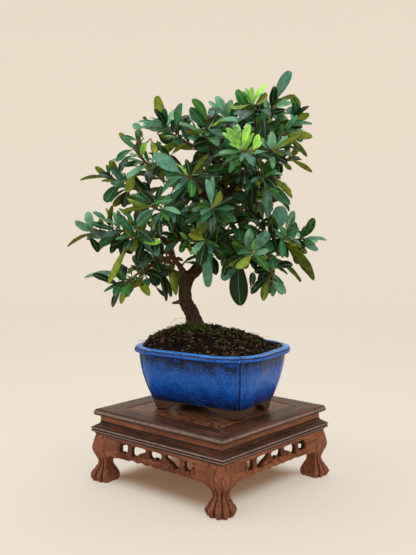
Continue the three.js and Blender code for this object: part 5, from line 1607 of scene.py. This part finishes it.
TRUNK_SIDES = 8
LIMB_SIDES = 4
TWIG_SIDES = 4
BARK_WAVINESS = 0.06
VIEWER = Vector((0, -1, 0))
NUDGES = (0, 5, -5, 10, -10, 15, -15, 21, -21, 27, -27)
RULE_ATTEMPTS = 10
GAP_MARGIN = 3
BLADE_STATIONS = ((0, 0), (0.48, 0.96), (0.8, 0.82), (1, 0))


# Plant: where its wood and leaves lie
def loft(rings):
    """Triangles over rings of points, with the ends closed to a tip or a cap."""
    count = max(len(ring) for ring in rings)
    points = [point for ring in rings for point in ring]
    starts = [0]
    for ring in rings:
        starts.append(starts[-1] + len(ring))
    faces = []
    for k in range(len(rings) - 1):
        for i in range(count):
            j = (i + 1) % count
            (a, b), (c, d) = (
                (starts[level],) * 2 if len(rings[level]) == 1 else (starts[level] + i, starts[level] + j)
                for level in (k, k + 1)
            )
            if a == b:
                faces.append((a, d, c))
            elif c == d:
                faces.append((a, b, c))
            elif i % 2 == 0:
                faces += [(a, b, c), (b, d, c)]
            else:
                faces += [(a, b, d), (a, d, c)]
    for ring, order in ((0, -1), (len(rings) - 1, 1)):
        if len(rings[ring]) == 1:
            continue
        middle = sum(rings[ring], Vector()) / count
        points.append(middle)
        for i in range(count):
            pair = (starts[ring] + i, starts[ring] + (i + 1) % count)
            faces.append((len(points) - 1, *(pair if order > 0 else pair[::-1])))
    return points, faces


def smoothed(path, steps=2):
    """A path's points with more between each two, on a smooth curve."""
    fine = []
    for k in range(steps * (len(path) - 1) + 1):
        place = k / steps
        low, high = path[int(place)], path[min(len(path) - 1, ceil(place))]
        radius = mix(low[3], high[3], place - int(place))
        fine.append([*on_curve([point[:3] for point in path], place), radius])
    return fine


def limb_tube(name, grow):
    if name == 'trunk':
        return loft(tube_rings(smoothed(LIMBS[name]), TRUNK_SIDES, grow, BARK_WAVINESS))
    return loft(tube_rings(LIMBS[name], LIMB_SIDES, grow))


def twig_path(shoot):
    last = len(shoot.twig) - 1
    return [[*spot, mix(*shoot.radii, k / last)] for k, spot in enumerate(shoot.twig)]


def along_twig(twig, share):
    spots = [Vector(spot[:3]) for spot in twig]
    lengths = [(there - here).length for here, there in zip(spots, spots[1:])]
    left = share * sum(lengths)
    k = 0
    while k < len(lengths) - 1 and left > lengths[k]:
        left -= lengths[k]
        k += 1
    return spots[k].lerp(spots[k + 1], left / lengths[k])


class Blade:
    """A leaf's place: where it starts and ends, the way its upper face looks, its width and tone."""

    def __init__(self, base, tip, facing, width, tone):
        self.base, self.tip, self.facing, self.width, self.tone = base, tip, facing, width, tone
        self.length = (tip - base).length
        self.axis = (tip - base).normalized()
        self.side = self.axis.cross(facing).normalized()
        self.rise = self.side.cross(self.axis)

    def middle(self, place):
        arch = BLADE_ARCH * self.length * 4 * place * (1 - place)
        return self.base + self.axis * self.length * place + self.rise * arch


def blade_room(blade, grow, start=0):
    """The room that a blade takes up, as a plain keeled form grown on all sides."""
    rings = []
    for place in (start, BLADE_STATIONS[1][0], BLADE_STATIONS[2][0]):
        middle = blade.middle(place)
        half = max(STALK_HALF, blade.width / 2 * read_table(BLADE_STATIONS, place)) + grow
        thick = BLADE_THICKNESS / 2 + grow
        edge = middle + blade.rise * thick
        rings.append([edge + blade.side * half, middle - blade.rise * thick, edge - blade.side * half])
    if start == 0:
        rings[0] = [blade.base - blade.axis * FOOT_DEPTH]
    return Room(loft([*rings, [blade.tip + blade.axis * grow]]))


class Room:
    """A closed form with its box, to be tested against others for crossing."""

    def __init__(self, form):
        points, faces = form
        spots = np.array([tuple(point) for point in points])
        self.low, self.high = spots.min(0), spots.max(0)
        self.tree = BVHTree.FromPolygons(points, faces, all_triangles=True)

    def crosses(self, other):
        return bool(self.tree.overlap(other.tree))

    def near(self, other):
        return bool((self.low < other.high).all() and (other.low < self.high).all())


def blade_as_seen(shoot, leaf, nudge):
    """A blade read from the front: what its seen length lacks goes into depth."""
    place, right, up, seen, tone = leaf
    base = along_twig(shoot.twig, min(LAST_FOOT, place))
    apparent = hypot(right, up)
    length = max(apparent, min(SHORTEST_BLADE, BLADE_SLIMNESS * seen))
    depth = shoot.lean * sqrt(length ** 2 - apparent ** 2) + nudge
    tip = base + Vector((right, depth, up))
    width = max(seen, SLIMMEST_BLADE * length)
    axis = (tip - base).normalized()
    towards = (VIEWER - axis * VIEWER.dot(axis)).normalized()
    upward = axis.cross(towards)
    if upward.z < 0:
        upward = -upward
    share = seen / width
    facing = towards * (-share if tone == 'olive' else share)
    facing += upward * sqrt(max(0, 1 - share ** 2))
    return Blade(base, tip, facing, width, tone)


RULE_START = 0.3
FIRST_TURN = 50
NEXT_TURN = 137.5
RETRY_TURN = 67
RULE_SPREAD = (75, 30)
SPREAD_DRAW = 25
RULE_RISE = 0.15
RULE_LENGTH = (24, 36)
RULE_SLIMNESS = (0.28, 0.36)
RULE_TONES = ('teal', 'dark', 'teal', 'green', 'dark', 'slate', 'teal', 'dark', 'green', 'mint')


def blade_by_rule(shoot, order, index, attempt, count, lengths):
    """A blade that spirals round the twig and reaches out and up."""
    def draw(step):
        return chance(order * 97 + index * 13 + attempt * 7 + step)
    place = mix(RULE_START, 1, (index + 0.6) / count)
    base = along_twig(shoot.twig, min(LAST_FOOT, place))
    ahead = (along_twig(shoot.twig, 1) - along_twig(shoot.twig, 0)).normalized()
    turn = radians(order * FIRST_TURN + index * NEXT_TURN + attempt * RETRY_TURN)
    outward = Vector((cos(turn), 0, sin(turn)))
    outward.y = -(outward.x * ahead.x + outward.z * ahead.z) / (ahead.y if abs(ahead.y) > 0.3 else 1)
    outward.normalize()
    spread = radians(mix(*RULE_SPREAD, place) + SPREAD_DRAW * draw(1))
    length = mix(*lengths, draw(2))
    way = ahead * cos(spread) + outward * sin(spread)
    way.z += RULE_RISE
    tip = base + way.normalized() * length
    facing = Vector((0.6 * (draw(3) - 0.5), shoot.lean * 0.5, 1)).normalized()
    width = length * mix(*RULE_SLIMNESS, draw(4))
    tone = RULE_TONES[int(draw(5) * len(RULE_TONES))]
    return Blade(base, tip, facing, width, tone)


# More gaps, which only the smaller leaves keep clear
SMALL_GAPS = [
    [-34, 274, 9], [-40, 263, 7], [-26, 281, 6], [-55, 234, 6], [92, 319, 8], [85, 278, 7], [-13, 250, 5],
    [90, 370, 5], [84, 278, 6], [-65, 330, 5], [-83, 229, 5], [-2, 245, 5], [60, 230, 5], [93, 256, 6],
]


def in_crown(blade, small=False):
    """Inside the crown's outline and out of the gaps that one can see through."""
    spots = [blade.base.lerp(blade.tip, share) for share in (0.5, 0.75, 1)]
    for x, z, radius in CROWN_GAPS + (SMALL_GAPS if small else []):
        if any(hypot(spot.x - x, spot.z - z) < radius + GAP_MARGIN for spot in spots):
            return False
    return inside_of(CROWN_OUTLINE, blade.tip.x, blade.tip.z)


class Crown:
    """The leaves placed so far, and the wood and twigs that each new one has to clear."""

    def __init__(self):
        wood = Gathered()
        for name in LIMBS:
            wood.add(limb_tube(name, GAP))
        self.wood = Room((wood.points, wood.faces))
        self.twigs = {
            name: Room(loft(tube_rings(twig_path(shoot), TWIG_SIDES, 2 * GAP)))
            for name, shoot in SHOOTS.items()
        }
        self.placed = []

    def add_if_clear(self, blade, name, clearance=LEAF_CLEARANCE):
        whole = blade_room(blade, clearance)
        outer = blade_room(blade, clearance, FOOT_SHARE)
        if whole.near(self.wood) and outer.crosses(self.wood):
            return False
        for other, twig in self.twigs.items():
            if other != name and whole.near(twig) and whole.crosses(twig):
                return False
        for neighbour in self.placed:
            if not whole.near(neighbour['whole']):
                continue
            same = neighbour['name'] == name
            mine, other = (outer, neighbour['outer']) if same else (whole, neighbour['whole'])
            if mine.crosses(other):
                return False
        self.placed.append({'name': name, 'whole': whole, 'outer': outer, 'blade': blade})
        return True


# Places along each twig that later leaves may grow from
TWIG_SITES = 12
# Smaller leaves deeper in, by the same rule
INNER_LEAVES = 7
INNER_LENGTH = (14, 26)
INNER_SEED = 500
SMALL_CLEARANCE = 0
# Spurs: short side twigs on older wood, each with a rosette of leaves
SPUR_STEP = 9
SPUR_LENGTH = (4, 15)
SPUR_LEAVES = 6
SPUR_SPREAD = (35, 85)
SPUR_LEAF_LENGTH = (20, 34)
SPUR_SLIMNESS = (0.34, 0.5)
# Mostly 'dark': painted shade on the leaves of the inner spurs
SPUR_TONES = ('dark', 'teal', 'dark', 'green', 'dark', 'dark', 'dark')
BARE_LIMBS = ('dead_stub', 'knob_twig')
BARE_TRUNK = 9


def within_box(spot):
    place = PLANT @ spot
    return all(low < level < high for low, level, high in zip(cad_low, place, cad_high))


def add_spurs(crown):
    """Rosettes along the limbs and twigs, each told to the shoot that starts nearest to it."""
    starts = {name: Vector(shoot.twig[0]) for name, shoot in SHOOTS.items()}
    wood = [limb[BARE_TRUNK:] if name == 'trunk' else limb for name, limb in LIMBS.items()
            if name not in BARE_LIMBS]
    wood += [twig_path(shoot) for shoot in SHOOTS.values()]
    spurs = []
    seed = 0
    for path in wood:
        length = sum(dist(here[:3], there[:3]) for here, there in zip(path, path[1:]))
        for k in range(int(length / SPUR_STEP)):
            seed += 1
            share = (k + 0.5 * chance(seed)) * SPUR_STEP / length
            root = along_twig(path, share)
            ahead = (along_twig(path, min(1, share + 0.1)) - root).normalized()
            turn = seed * radians(NEXT_TURN)
            outward = ahead.orthogonal().normalized()
            outward.rotate(Matrix.Rotation(turn, 3, ahead))
            way = (outward + 0.5 * ahead + Vector((0, 0, 0.35))).normalized()
            tip = root + way * (path[0][3] + mix(*SPUR_LENGTH, chance(seed * 1.9)))
            name = min(starts, key=lambda key: (starts[key] - root).length)
            leaves = 0
            for index in range(SPUR_LEAVES):
                draw = [chance(seed * 31 + index * 7.3 + step) for step in range(6)]
                spread = radians(mix(*SPUR_SPREAD, draw[0]))
                beside = way.orthogonal().normalized()
                beside.rotate(Matrix.Rotation(index * radians(NEXT_TURN) + seed, 3, way))
                axis = way * cos(spread) + beside * sin(spread) + Vector((0, 0, RULE_RISE))
                span = mix(*SPUR_LEAF_LENGTH, draw[1])
                base = tip - way * 3 * draw[2]
                facing = Vector((0.8 * (draw[3] - 0.5), -0.5 if tip.y < 20 else 0.5, 1)).normalized()
                tone = SPUR_TONES[int(draw[4] * len(SPUR_TONES))]
                blade = Blade(
                    base, base + axis.normalized() * span, facing, span * mix(*SPUR_SLIMNESS, draw[5]), tone,
                )
                if not within_box(blade.tip) or not in_crown(blade, small=True):
                    continue
                if crown.add_if_clear(blade, name, SMALL_CLEARANCE):
                    leaves += 1
            if leaves:
                spurs.append((name, root, tip))
    return spurs


# Smaller leaves read one by one: [base x, base z, tip x, tip z, width, tone]
READ_LEAVES = [
    (-76, 430, -82, 434, 4, 'olive'), (-72, 419, -84, 427, 8, 'mint'), (-80, 414, -90, 422, 9, 'mint'),
    (-78, 406, -87, 415, 8, 'green'), (-84, 403, -102, 408, 6, 'teal'), (-89, 387, -100, 398, 9, 'slate'),
    (-66, 415, -46, 404, 15, 'teal'), (-70, 406, -64, 389, 8, 'olive'), (-48, 388, -32, 402, 6, 'olive'),
    (-19, 395, -45, 400, 8, 'olive'), (-16, 377, -38, 380, 8, 'teal'), (-71, 431, -56, 428, 8, 'teal'),
    (107, 445, 96, 463, 9, 'olive'), (78, 455, 97, 459, 5, 'olive'), (99, 435, 113, 439, 10, 'olive'),
    (105, 440, 91, 448, 12, 'slate'), (74, 446, 91, 427, 14, 'slate'), (-57, 263, -43, 221, 10, 'olive'),
    (-76, 252, -55, 238, 5, 'olive'), (-71, 231, -55, 216, 5, 'dark'), (20, 240, 17, 219, 5, 'olive'),
    (23, 240, 30, 219, 6, 'olive'), (72, 300, 82, 330, 19, 'slate'), (65, 318, 67, 345, 10, 'slate'),
    (-97, 285, -117, 242, 8, 'olive'), (43, 238, 46, 256, 8, 'dark'),
    (34, 392, 15, 415, 8, 'bright'), (34, 392, 27, 421, 8, 'bright'), (36, 392, 40, 419, 8, 'bright'),
    (43, 390, 50, 408, 8, 'bright'), (35, 390, 18, 397, 6, 'bright'), (44, 390, 53, 401, 7, 'bright'),
    (63, 397, 36, 417, 9, 'olive'), (68, 396, 72, 414, 16, 'slate'), (68, 393, 102, 412, 7, 'olive'),
    (39, 371, -8, 369, 12, 'green'), (2, 424, -20, 442, 16, 'slate'), (8, 383, 0, 406, 13, 'teal'),
    (-10, 394, -17, 411, 16, 'teal'), (50, 360, 82, 342, 11, 'slate'), (-8, 369, -1, 337, 15, 'slate'),
    (-34, 365, -65, 386, 17, 'slate'), (-65, 366, -81, 385, 11, 'teal'), (-91, 369, -98, 345, 11, 'olive'),
]
STALK_REACH = (5, 30)


def nearest_site(sites, x, z):
    """The site whose spot, its last value, lies nearest to a place as seen from the front."""
    return min(sites, key=lambda site: hypot(site[-1].x - x, site[-1].z - z))


def add_read_leaves(crown, sites):
    """Leaves at the places read for them, on side twigs where the nearest twig is some way off."""
    stems = []
    for x, z, tip_x, tip_z, width, tone in READ_LEAVES:
        name, _, root = nearest_site(sites, x, z)
        away = hypot(root.x - x, root.z - z)
        if away > STALK_REACH[1]:
            continue
        base = Vector((x, root.y - 2, z)) if away > STALK_REACH[0] else root
        facing = VIEWER * (-1 if tone == 'olive' else 1) + Vector((0, 0, 0.35))
        for nudge in NUDGES:
            blade = Blade(base, Vector((tip_x, base.y + nudge, tip_z)), facing.normalized(), width, tone)
            if crown.add_if_clear(blade, name, SMALL_CLEARANCE):
                if base != root:
                    stems.append((name, root, base))
                break
    return stems


FILL_TARGETS = 2600
FILL_REACH = (13, 36)
FILL_SLIMNESS = (0.36, 0.52)
FILL_TONES = ('teal', 'dark', 'olive', 'dark', 'green', 'olive', 'slate', 'dark', 'teal', 'mint')


def fill_crown(crown, sites):
    """Leaves that reach from the nearest twig to places spread evenly over the crown."""
    places = np.array([tuple(site[2]) for site in sites])
    left, right = (pick(point[0] for point in CROWN_OUTLINE) for pick in (min, max))
    low, high = (pick(point[1] for point in CROWN_OUTLINE) for pick in (min, max))
    for k in range(FILL_TARGETS):
        x, z = mix(left, right, (k * 0.754878) % 1), mix(low, high, (k * 0.569840) % 1)
        away = np.hypot(places[:, 0] - x, places[:, 2] - z)
        away[away < FILL_REACH[0] * (1 + chance(k))] = 1e9
        nearest = int(away.argmin())
        if away[nearest] > FILL_REACH[1]:
            continue
        name, lean, base = sites[nearest]
        tip = Vector((x, base.y + lean * 16 * chance(k * 1.3) + 10 * (chance(k * 1.7) - 0.5), z))
        tone = FILL_TONES[int(chance(k * 2.3) * len(FILL_TONES))]
        facing = VIEWER * mix(0.3, 1, chance(k * 2.9)) * -lean
        facing += Vector((0.5 * (chance(k * 3.1) - 0.5), 0, 0.7))
        if tone == 'olive':
            facing = -facing
        width = (tip - base).length * mix(*FILL_SLIMNESS, chance(k * 3.7))
        blade = Blade(base, tip, facing.normalized(), width, tone)
        if within_box(tip) and in_crown(blade, small=True):
            crown.add_if_clear(blade, name, SMALL_CLEARANCE)


def add_by_rule(crown, lengths, clearance=LEAF_CLEARANCE, count=None, first=0):
    """Leaves that spiral up each twig, as many as a count says or as the shoot has in plan."""
    for order, (name, shoot) in enumerate(SHOOTS.items(), first):
        leaves = count or shoot.extra
        for index in range(leaves):
            for attempt in range(RULE_ATTEMPTS):
                blade = blade_by_rule(shoot, order, index, attempt, leaves, lengths)
                fits = in_crown(blade) and (count is None or within_box(blade.tip))
                if fits and crown.add_if_clear(blade, name, clearance):
                    break


def grow_crown():
    crown = Crown()
    for name, shoot in SHOOTS.items():
        for leaf in shoot.leaves:
            any(crown.add_if_clear(blade_as_seen(shoot, leaf, nudge), name) for nudge in NUDGES)
    add_by_rule(crown, RULE_LENGTH)
    sites = [
        (name, shoot.lean, along_twig(shoot.twig, k / TWIG_SITES))
        for name, shoot in SHOOTS.items() for k in range(1, TWIG_SITES + 1)
    ]
    stems = add_read_leaves(crown, sites)
    add_by_rule(crown, INNER_LENGTH, SMALL_CLEARANCE, INNER_LEAVES, INNER_SEED)
    fill_crown(crown, sites)
    return crown.placed, stems + add_spurs(crown)


# Leaves: the colours of the upper and lower face by tone; 'slate' tops carry a painted bluish sheen, and
# 'dark' is a dark green that also stands for painted shade on leaves deep in the crown
TONES = {
    'teal': (srgb(42, 98, 62), srgb(86, 112, 28)),
    'dark': (srgb(9, 33, 8), srgb(50, 72, 13)),
    'slate': (srgb(72, 120, 104), srgb(92, 114, 38)),
    'green': (srgb(38, 98, 28), srgb(90, 116, 28)),
    'bright': (srgb(138, 196, 78), srgb(140, 178, 76)),
    'mint': (srgb(108, 164, 128), srgb(112, 148, 54)),
    'olive': (srgb(22, 60, 20), srgb(102, 122, 34)),
}
LEAF, TWIG, BUD = range(3)
LEAF_ROWS = (0, 0.04, 0.09, 0.16, 0.25, 0.35, 0.45, 0.55, 0.64, 0.73, 0.81, 0.88, 0.94, 0.98, 1)
LEAF_COLUMNS = (-1, -0.55, 0, 0.55, 1)
LEAF_SHEET = 0.45
STALK_SHARE = 0.07
STALK_RADIUS = 0.55


def leaf_half(place, width, widest, bluntness):
    """Half the blade's width at a place along it."""
    if place <= widest:
        run = max(0, (place - STALK_SHARE) / (widest - STALK_SHARE))
        shape = sin(pi / 2 * run) ** 1.1
    else:
        shape = max(0, cos(pi / 2 * (place - widest) / (1 - widest))) ** bluntness
    return max(STALK_RADIUS if place < 0.5 else 0.25, width / 2 * shape)


def leaf_form(blade, seed):
    """Upper and lower sheets of a leaf joined at its margins, with what its surface needs per point."""
    draws = [chance(seed * 17.3 + k * 5.1) for k in range(8)]
    bluntness = mix(0.34, 0.56, draws[0])
    widest = mix(0.54, 0.68, draws[5])
    fold = mix(0.14, 0.42, draws[1])
    curl = mix(0, 0.16, draws[2])
    wave = mix(0.02, 0.09, draws[3])
    sway = mix(-0.05, 0.05, draws[4])
    droop = mix(-0.02, 0.06, draws[5])
    waves = mix(2, 4, draws[6])
    points, details = [], []
    for row, place in enumerate(LEAF_ROWS):
        half = leaf_half(place, blade.width, widest, bluntness)
        bladed = min(1, max(0, (place - STALK_SHARE) * 8))
        middle = blade.middle(place)
        middle += blade.side * sway * blade.length * sin(pi * place)
        middle -= blade.rise * droop * blade.length * place * place
        thick = mix(2 * STALK_RADIUS * 0.85, LEAF_SHEET, bladed)
        for sheet in (1, -1):
            for across in LEAF_COLUMNS:
                ripple = wave * sin(2 * pi * (waves * place + draws[7]) + 1.6 * across)
                lift = bladed * half * (fold * abs(across) - curl * across ** 4 + ripple * across ** 2)
                edge = 1 if bladed else sqrt(max(0, 1 - 0.6 * across ** 2))
                spot = middle + blade.side * half * across * sqrt(max(0.2, 1 - fold ** 2))
                spot += blade.rise * (lift + sheet * thick / 2 * edge * (1 - 0.35 * abs(across)))
                points.append(spot)
                details.append((across * half, place * blade.length, 1 if sheet > 0 else 0, abs(across)))
    columns = len(LEAF_COLUMNS)
    faces = []
    for row in range(len(LEAF_ROWS) - 1):
        top, lower = row * 2 * columns, row * 2 * columns + columns
        next_top, next_lower = top + 2 * columns, lower + 2 * columns
        for i in range(columns - 1):
            faces.append((top + i, top + i + 1, next_top + i + 1, next_top + i))
            faces.append((lower + i, next_lower + i, next_lower + i + 1, lower + i + 1))
        faces.append((top, next_top, next_lower, lower))
        end = columns - 1
        faces.append((top + end, lower + end, next_lower + end, next_top + end))
    last = (len(LEAF_ROWS) - 1) * 2 * columns
    end = last + columns
    faces.append((*range(last, end), *reversed(range(end, end + columns))))
    faces.append((*reversed(range(columns)), *range(columns, 2 * columns)))
    return points, faces, details


class Spray:
    """The mesh of one shoot: its twig, leaves and buds, with the leaves' details per point."""

    def __init__(self):
        self.shape = Gathered()
        self.details = []
        self.tints = []
        self.draws = []

    def add(self, form, mark, details=None, tints=None, draw=0):
        self.shape.add(form, mark)
        count = len(form[0])
        self.details += details or [(0, 0, 0, 0)] * count
        self.tints += tints or [(0.2, 0.1, 0.05, 1)] * count
        self.draws += [draw] * count

    def add_leaf(self, blade, seed):
        points, faces, details = leaf_form(blade, seed)
        upper, lower = TONES[blade.tone]
        draw = chance(seed * 3.7 + 1)
        tints = [upper if detail[2] else lower for detail in details]
        self.add((points, faces), LEAF, details, tints, draw)

    def mesh(self, name):
        data = self.shape.mesh(name)
        places = [level for detail in self.details for level in detail[:3]]
        add_attribute(data, 'blade', places, 'FLOAT_VECTOR', 'vector')
        add_attribute(data, 'margin', [detail[3] for detail in self.details])
        tints = [level for colour in self.tints for level in colour]
        add_attribute(data, 'tint', tints, 'FLOAT_COLOR', 'color')
        add_attribute(data, 'draw', self.draws)
        return data


VEIN_STEP = 2.6


def leaf_look():
    """Leathery leaf: veins, fine dark specks and a paler midrib, glossy above and matt below."""
    material, tree, shader = new_material('leaf', 0.4, Specular_IOR_Level=0.11)
    place = coordinates(tree)
    blade = attribute(tree, 'blade', 'Vector')
    across = maths('ABSOLUTE', axis_of(blade, 0))
    along = axis_of(blade, 1)
    upper = axis_of(blade, 2)
    margin = attribute(tree, 'margin')
    draw = attribute(tree, 'draw')
    tint = attribute(tree, 'tint', 'Color')
    patch = noise_of(place, 6, 3, 0.6)
    shade = plus(reach(patch, 0.3, 0.7, -0.2, 0.2), reach(draw, 0, 1, -0.25, 0.25))
    dimmer = blend(1, tint, (0.36, 0.38, 0.34, 1), 'MULTIPLY')
    brighter = blend(1, tint, (1.7, 1.6, 1.5, 1), 'MULTIPLY')
    colour = blend(reach(shade, -0.45, 0, 0, 1), dimmer, tint)
    colour = blend(reach(shade, 0, 0.45, 0, 1), colour, brighter)
    warp = noise_of(place, 3, 2)
    slope = minus(along, times(across, 0.9))
    slope = plus(slope, times(warp, 1.2))
    vein = maths('PINGPONG', slope, VEIN_STEP / 2)
    vein = reach(vein, 0.28, 0.05)
    vein = times(vein, reach(margin, 0.95, 0.5, 0, 0.34))
    rib = reach(across, 0.6, 0.2, 0, 1)
    rib = times(rib, reach(upper, 0, 1, 0.7, 0.5))
    pale = blend(upper, srgb(150, 158, 88), srgb(120, 158, 120))
    colour = blend(vein, colour, pale)
    colour = blend(rib, colour, pale)
    speck = reach(cells_of(place, 1.5), 0.22, 0.08, 0, 0.75)
    speck = times(speck, reach(noise_of(place, 5, 2), 0.45, 0.65))
    colour = blend(speck, colour, srgb(30, 30, 16))
    edge = reach(margin, 0.86, 1, 0, 0.5)
    colour = blend(edge, colour, srgb(74, 72, 34))
    stalk = reach(along, 3.4, 1.2, 0, 0.9)
    colour = blend(stalk, colour, srgb(150, 116, 58))
    put(shader.inputs['Base Color'], colour)
    rough = blend(upper, (0.62, 0.62, 0.62, 1), reach(patch, 0.3, 0.7, 0.26, 0.42))
    put(shader.inputs['Roughness'], rough)
    height = minus(reach(patch, 0, 1, 0, 0.4), plus(vein, rib))
    bump(shader, height, 0.35, 0.7)
    return material


def bud_look():
    material, tree, shader = new_material('bud', 0.5, Specular_IOR_Level=0.4)
    place = coordinates(tree)
    patch = noise_of(place, 1.4, 3)
    put(shader.inputs['Base Color'], blend(patch, srgb(120, 34, 34), srgb(178, 88, 72)))
    bump(shader, patch, 0.2, 0.6)
    return material


TWIG_RING = 8
TWIG_STEPS = 6
# Buds in small bunches: [x, z], each in front of the nearest twig
BUDS = [(-73, 418), (-6, 452), (90, 385), (77, 359)]
BUDS_A_BUNCH = 4
BUD_REACH = 9
BUD_SIZE = 1.7


def add_buds(sprays):
    sites = [
        (name, along_twig(shoot.twig, share / 6)) for name, shoot in SHOOTS.items() for share in range(2, 7)
    ]
    for k, (x, z) in enumerate(BUDS):
        name, spot = nearest_site(sites, x, z)
        for index in range(BUDS_A_BUNCH):
            draw = [chance(k * 9.1 + index * 3.3 + step) - 0.5 for step in range(3)]
            way = Vector((x - spot.x, -BUD_REACH / 2, z - spot.z)).normalized()
            place = spot + way * BUD_REACH + Vector(draw) * 4
            sprays[name].add(strand([spot, spot.lerp(place, 0.6), place], [0.5, 0.4, 0.35], 5), TWIG)
            sprays[name].add(crumb_blob(place, BUD_SIZE, k * 5.9 + index), BUD)


def build_sprays():
    twig = grainy(
        'twig', srgb(46, 29, 17), srgb(104, 74, 44), srgb(92, 84, 60), rough=0.75, size=1.2,
        gloss=0.3, depth=0.2, grains=(0.3, 0.7), patches=(9, 0.4, 0.7, 0.6),
    )
    looks = [leaf_look(), twig, bud_look()]
    placed, spurs = grow_crown()
    sprays = {name: Spray() for name in SHOOTS}
    add_buds(sprays)
    for name, shoot in SHOOTS.items():
        spray = sprays[name]
        path = smoothed(twig_path(shoot), TWIG_STEPS)
        spray.add(skin(tube_rings(path, TWIG_RING, 0, BARK_WAVINESS)), TWIG)
        for owner, root, tip in spurs:
            if owner == name:
                spray.add(strand([root, root.lerp(tip, 0.5), tip], [1.1, 0.9, 0.7], 5), TWIG)
        for seed, leaf in enumerate(placed):
            if leaf['name'] == name:
                spray.add_leaf(leaf['blade'], seed)
        data = spray.mesh(f'spray_{name}_leafy')
        turn_outward(data)
        data.transform(rigid(PLANT))
        finish_piece(f'spray_{name}_leafy', data, looks, [f'spray_{name}'], 50)


# Trunk and limbs: tubes fused into one skin, then furrowed
BARK_VOXEL = 0.95
WOOD_SIDES = 16
WOOD_STEPS = 6
# Shares of the radius that the bark stands out or lies in, and how far its furrows are drawn out
FURROW_DEPTH = 0.055
LUMP_DEPTH = 0.1
FURROW_STRETCH = 0.78


def fused(data, voxel):
    """The closed forms of a mesh as one skin."""
    source = new_object('fusing', data)
    remesh = source.modifiers.new('remesh', 'REMESH')
    remesh.mode = 'VOXEL'
    remesh.voxel_size = voxel * MM
    remesh.adaptivity = 0
    graph = bpy.context.evaluated_depsgraph_get()
    result = bpy.data.meshes.new_from_object(source.evaluated_get(graph))
    bpy.data.objects.remove(source)
    return result


def nearest_limb(spots):
    """For each spot, the limbs' radius nearest to it and the way they run there."""
    best = np.full(len(spots), 1e9)
    radius = np.zeros(len(spots))
    heading = np.zeros((len(spots), 3))
    for limb in LIMBS.values():
        for here, there in zip(limb, limb[1:]):
            start, run = np.array(here[:3]), np.array(there[:3]) - np.array(here[:3])
            share = np.clip((spots - start) @ run / (run @ run), 0, 1)
            local = here[3] + (there[3] - here[3]) * share
            away = np.linalg.norm(spots - start - share[:, None] * run, axis=1) - local
            closer = away < best
            best[closer] = away[closer]
            radius[closer] = local[closer]
            heading[closer] = run / np.linalg.norm(run)
    return radius, heading


def furrow(data):
    """Bark relief: long furrows and ridges along the wood, knots, and the radius as an attribute."""
    count = len(data.vertices)
    spots = np.zeros(count * 3)
    data.vertices.foreach_get('co', spots)
    spots = spots.reshape(-1, 3) / MM
    normals = np.zeros(count * 3)
    data.vertex_normals.foreach_get('vector', normals)
    normals = normals.reshape(-1, 3)
    radius, heading = nearest_limb(spots)
    moved = spots.copy()
    for i in range(count):
        spot, way = Vector(spots[i]), Vector(heading[i])
        squeezed = spot - way * spot.dot(way) * FURROW_STRETCH
        size = 1.6 + 0.18 * radius[i]
        furrows = abs(noise.noise(squeezed / size)) * 2 - 0.35
        lumps = noise.noise(spot / (3 + radius[i]))
        lift = FURROW_DEPTH * radius[i] * furrows + LUMP_DEPTH * radius[i] * lumps
        moved[i] = spots[i] + normals[i] * lift
    data.vertices.foreach_set('co', (moved * MM).ravel())
    add_attribute(data, 'girth', radius)
    data.update()


def bark_look():
    material, tree, shader = new_material('bark', 0.88, Specular_IOR_Level=0.12)
    place = coordinates(tree)
    grain = noise_of(coordinates(tree, (1, 1, 3)), 1.3, 5, 0.7)
    patch = noise_of(place, 7, 3)
    girth = attribute(tree, 'girth')
    thick = blend(reach(grain, 0.3, 0.72), srgb(16, 11, 8), srgb(74, 57, 41))
    thin = blend(reach(grain, 0.3, 0.72), srgb(44, 26, 15), srgb(112, 74, 44))
    colour = blend(reach(girth, 2, 5), thin, thick)
    colour = blend(reach(patch, 0.5, 0.72, 0, 0.6), colour, srgb(70, 66, 46))
    height = axis_of(place, 2)
    low = reach(height, SOIL_PEAK + STAND_TOP + 7, SOIL_PEAK + STAND_TOP - 3)
    mossy = times(low, reach(patch, 0.35, 0.6))
    colour = blend(mossy, colour, srgb(62, 82, 26))
    put(shader.inputs['Base Color'], colour)
    bump(shader, grain, 0.5, 0.9)
    return material


def build_wood():
    shape = Gathered()
    for name, limb in LIMBS.items():
        path = smoothed(limb, WOOD_STEPS)
        shape.add(skin(tube_rings(path, WOOD_SIDES, 0, BARK_WAVINESS if name == 'trunk' else 0)))
    loose = shape.mesh('limbs')
    turn_outward(loose)
    data = fused(loose, BARK_VOXEL)
    furrow(data)
    data.name = 'bark_furrowed'
    data.materials.clear()
    data.transform(rigid(PLANT))
    finish_piece('bark_furrowed', data, [bark_look()], ['trunk_and_limbs'], 180)


add_camera()
add_studio()
add_lights()
build_stand()
build_pot()
build_soil()
build_wood()
build_sprays()
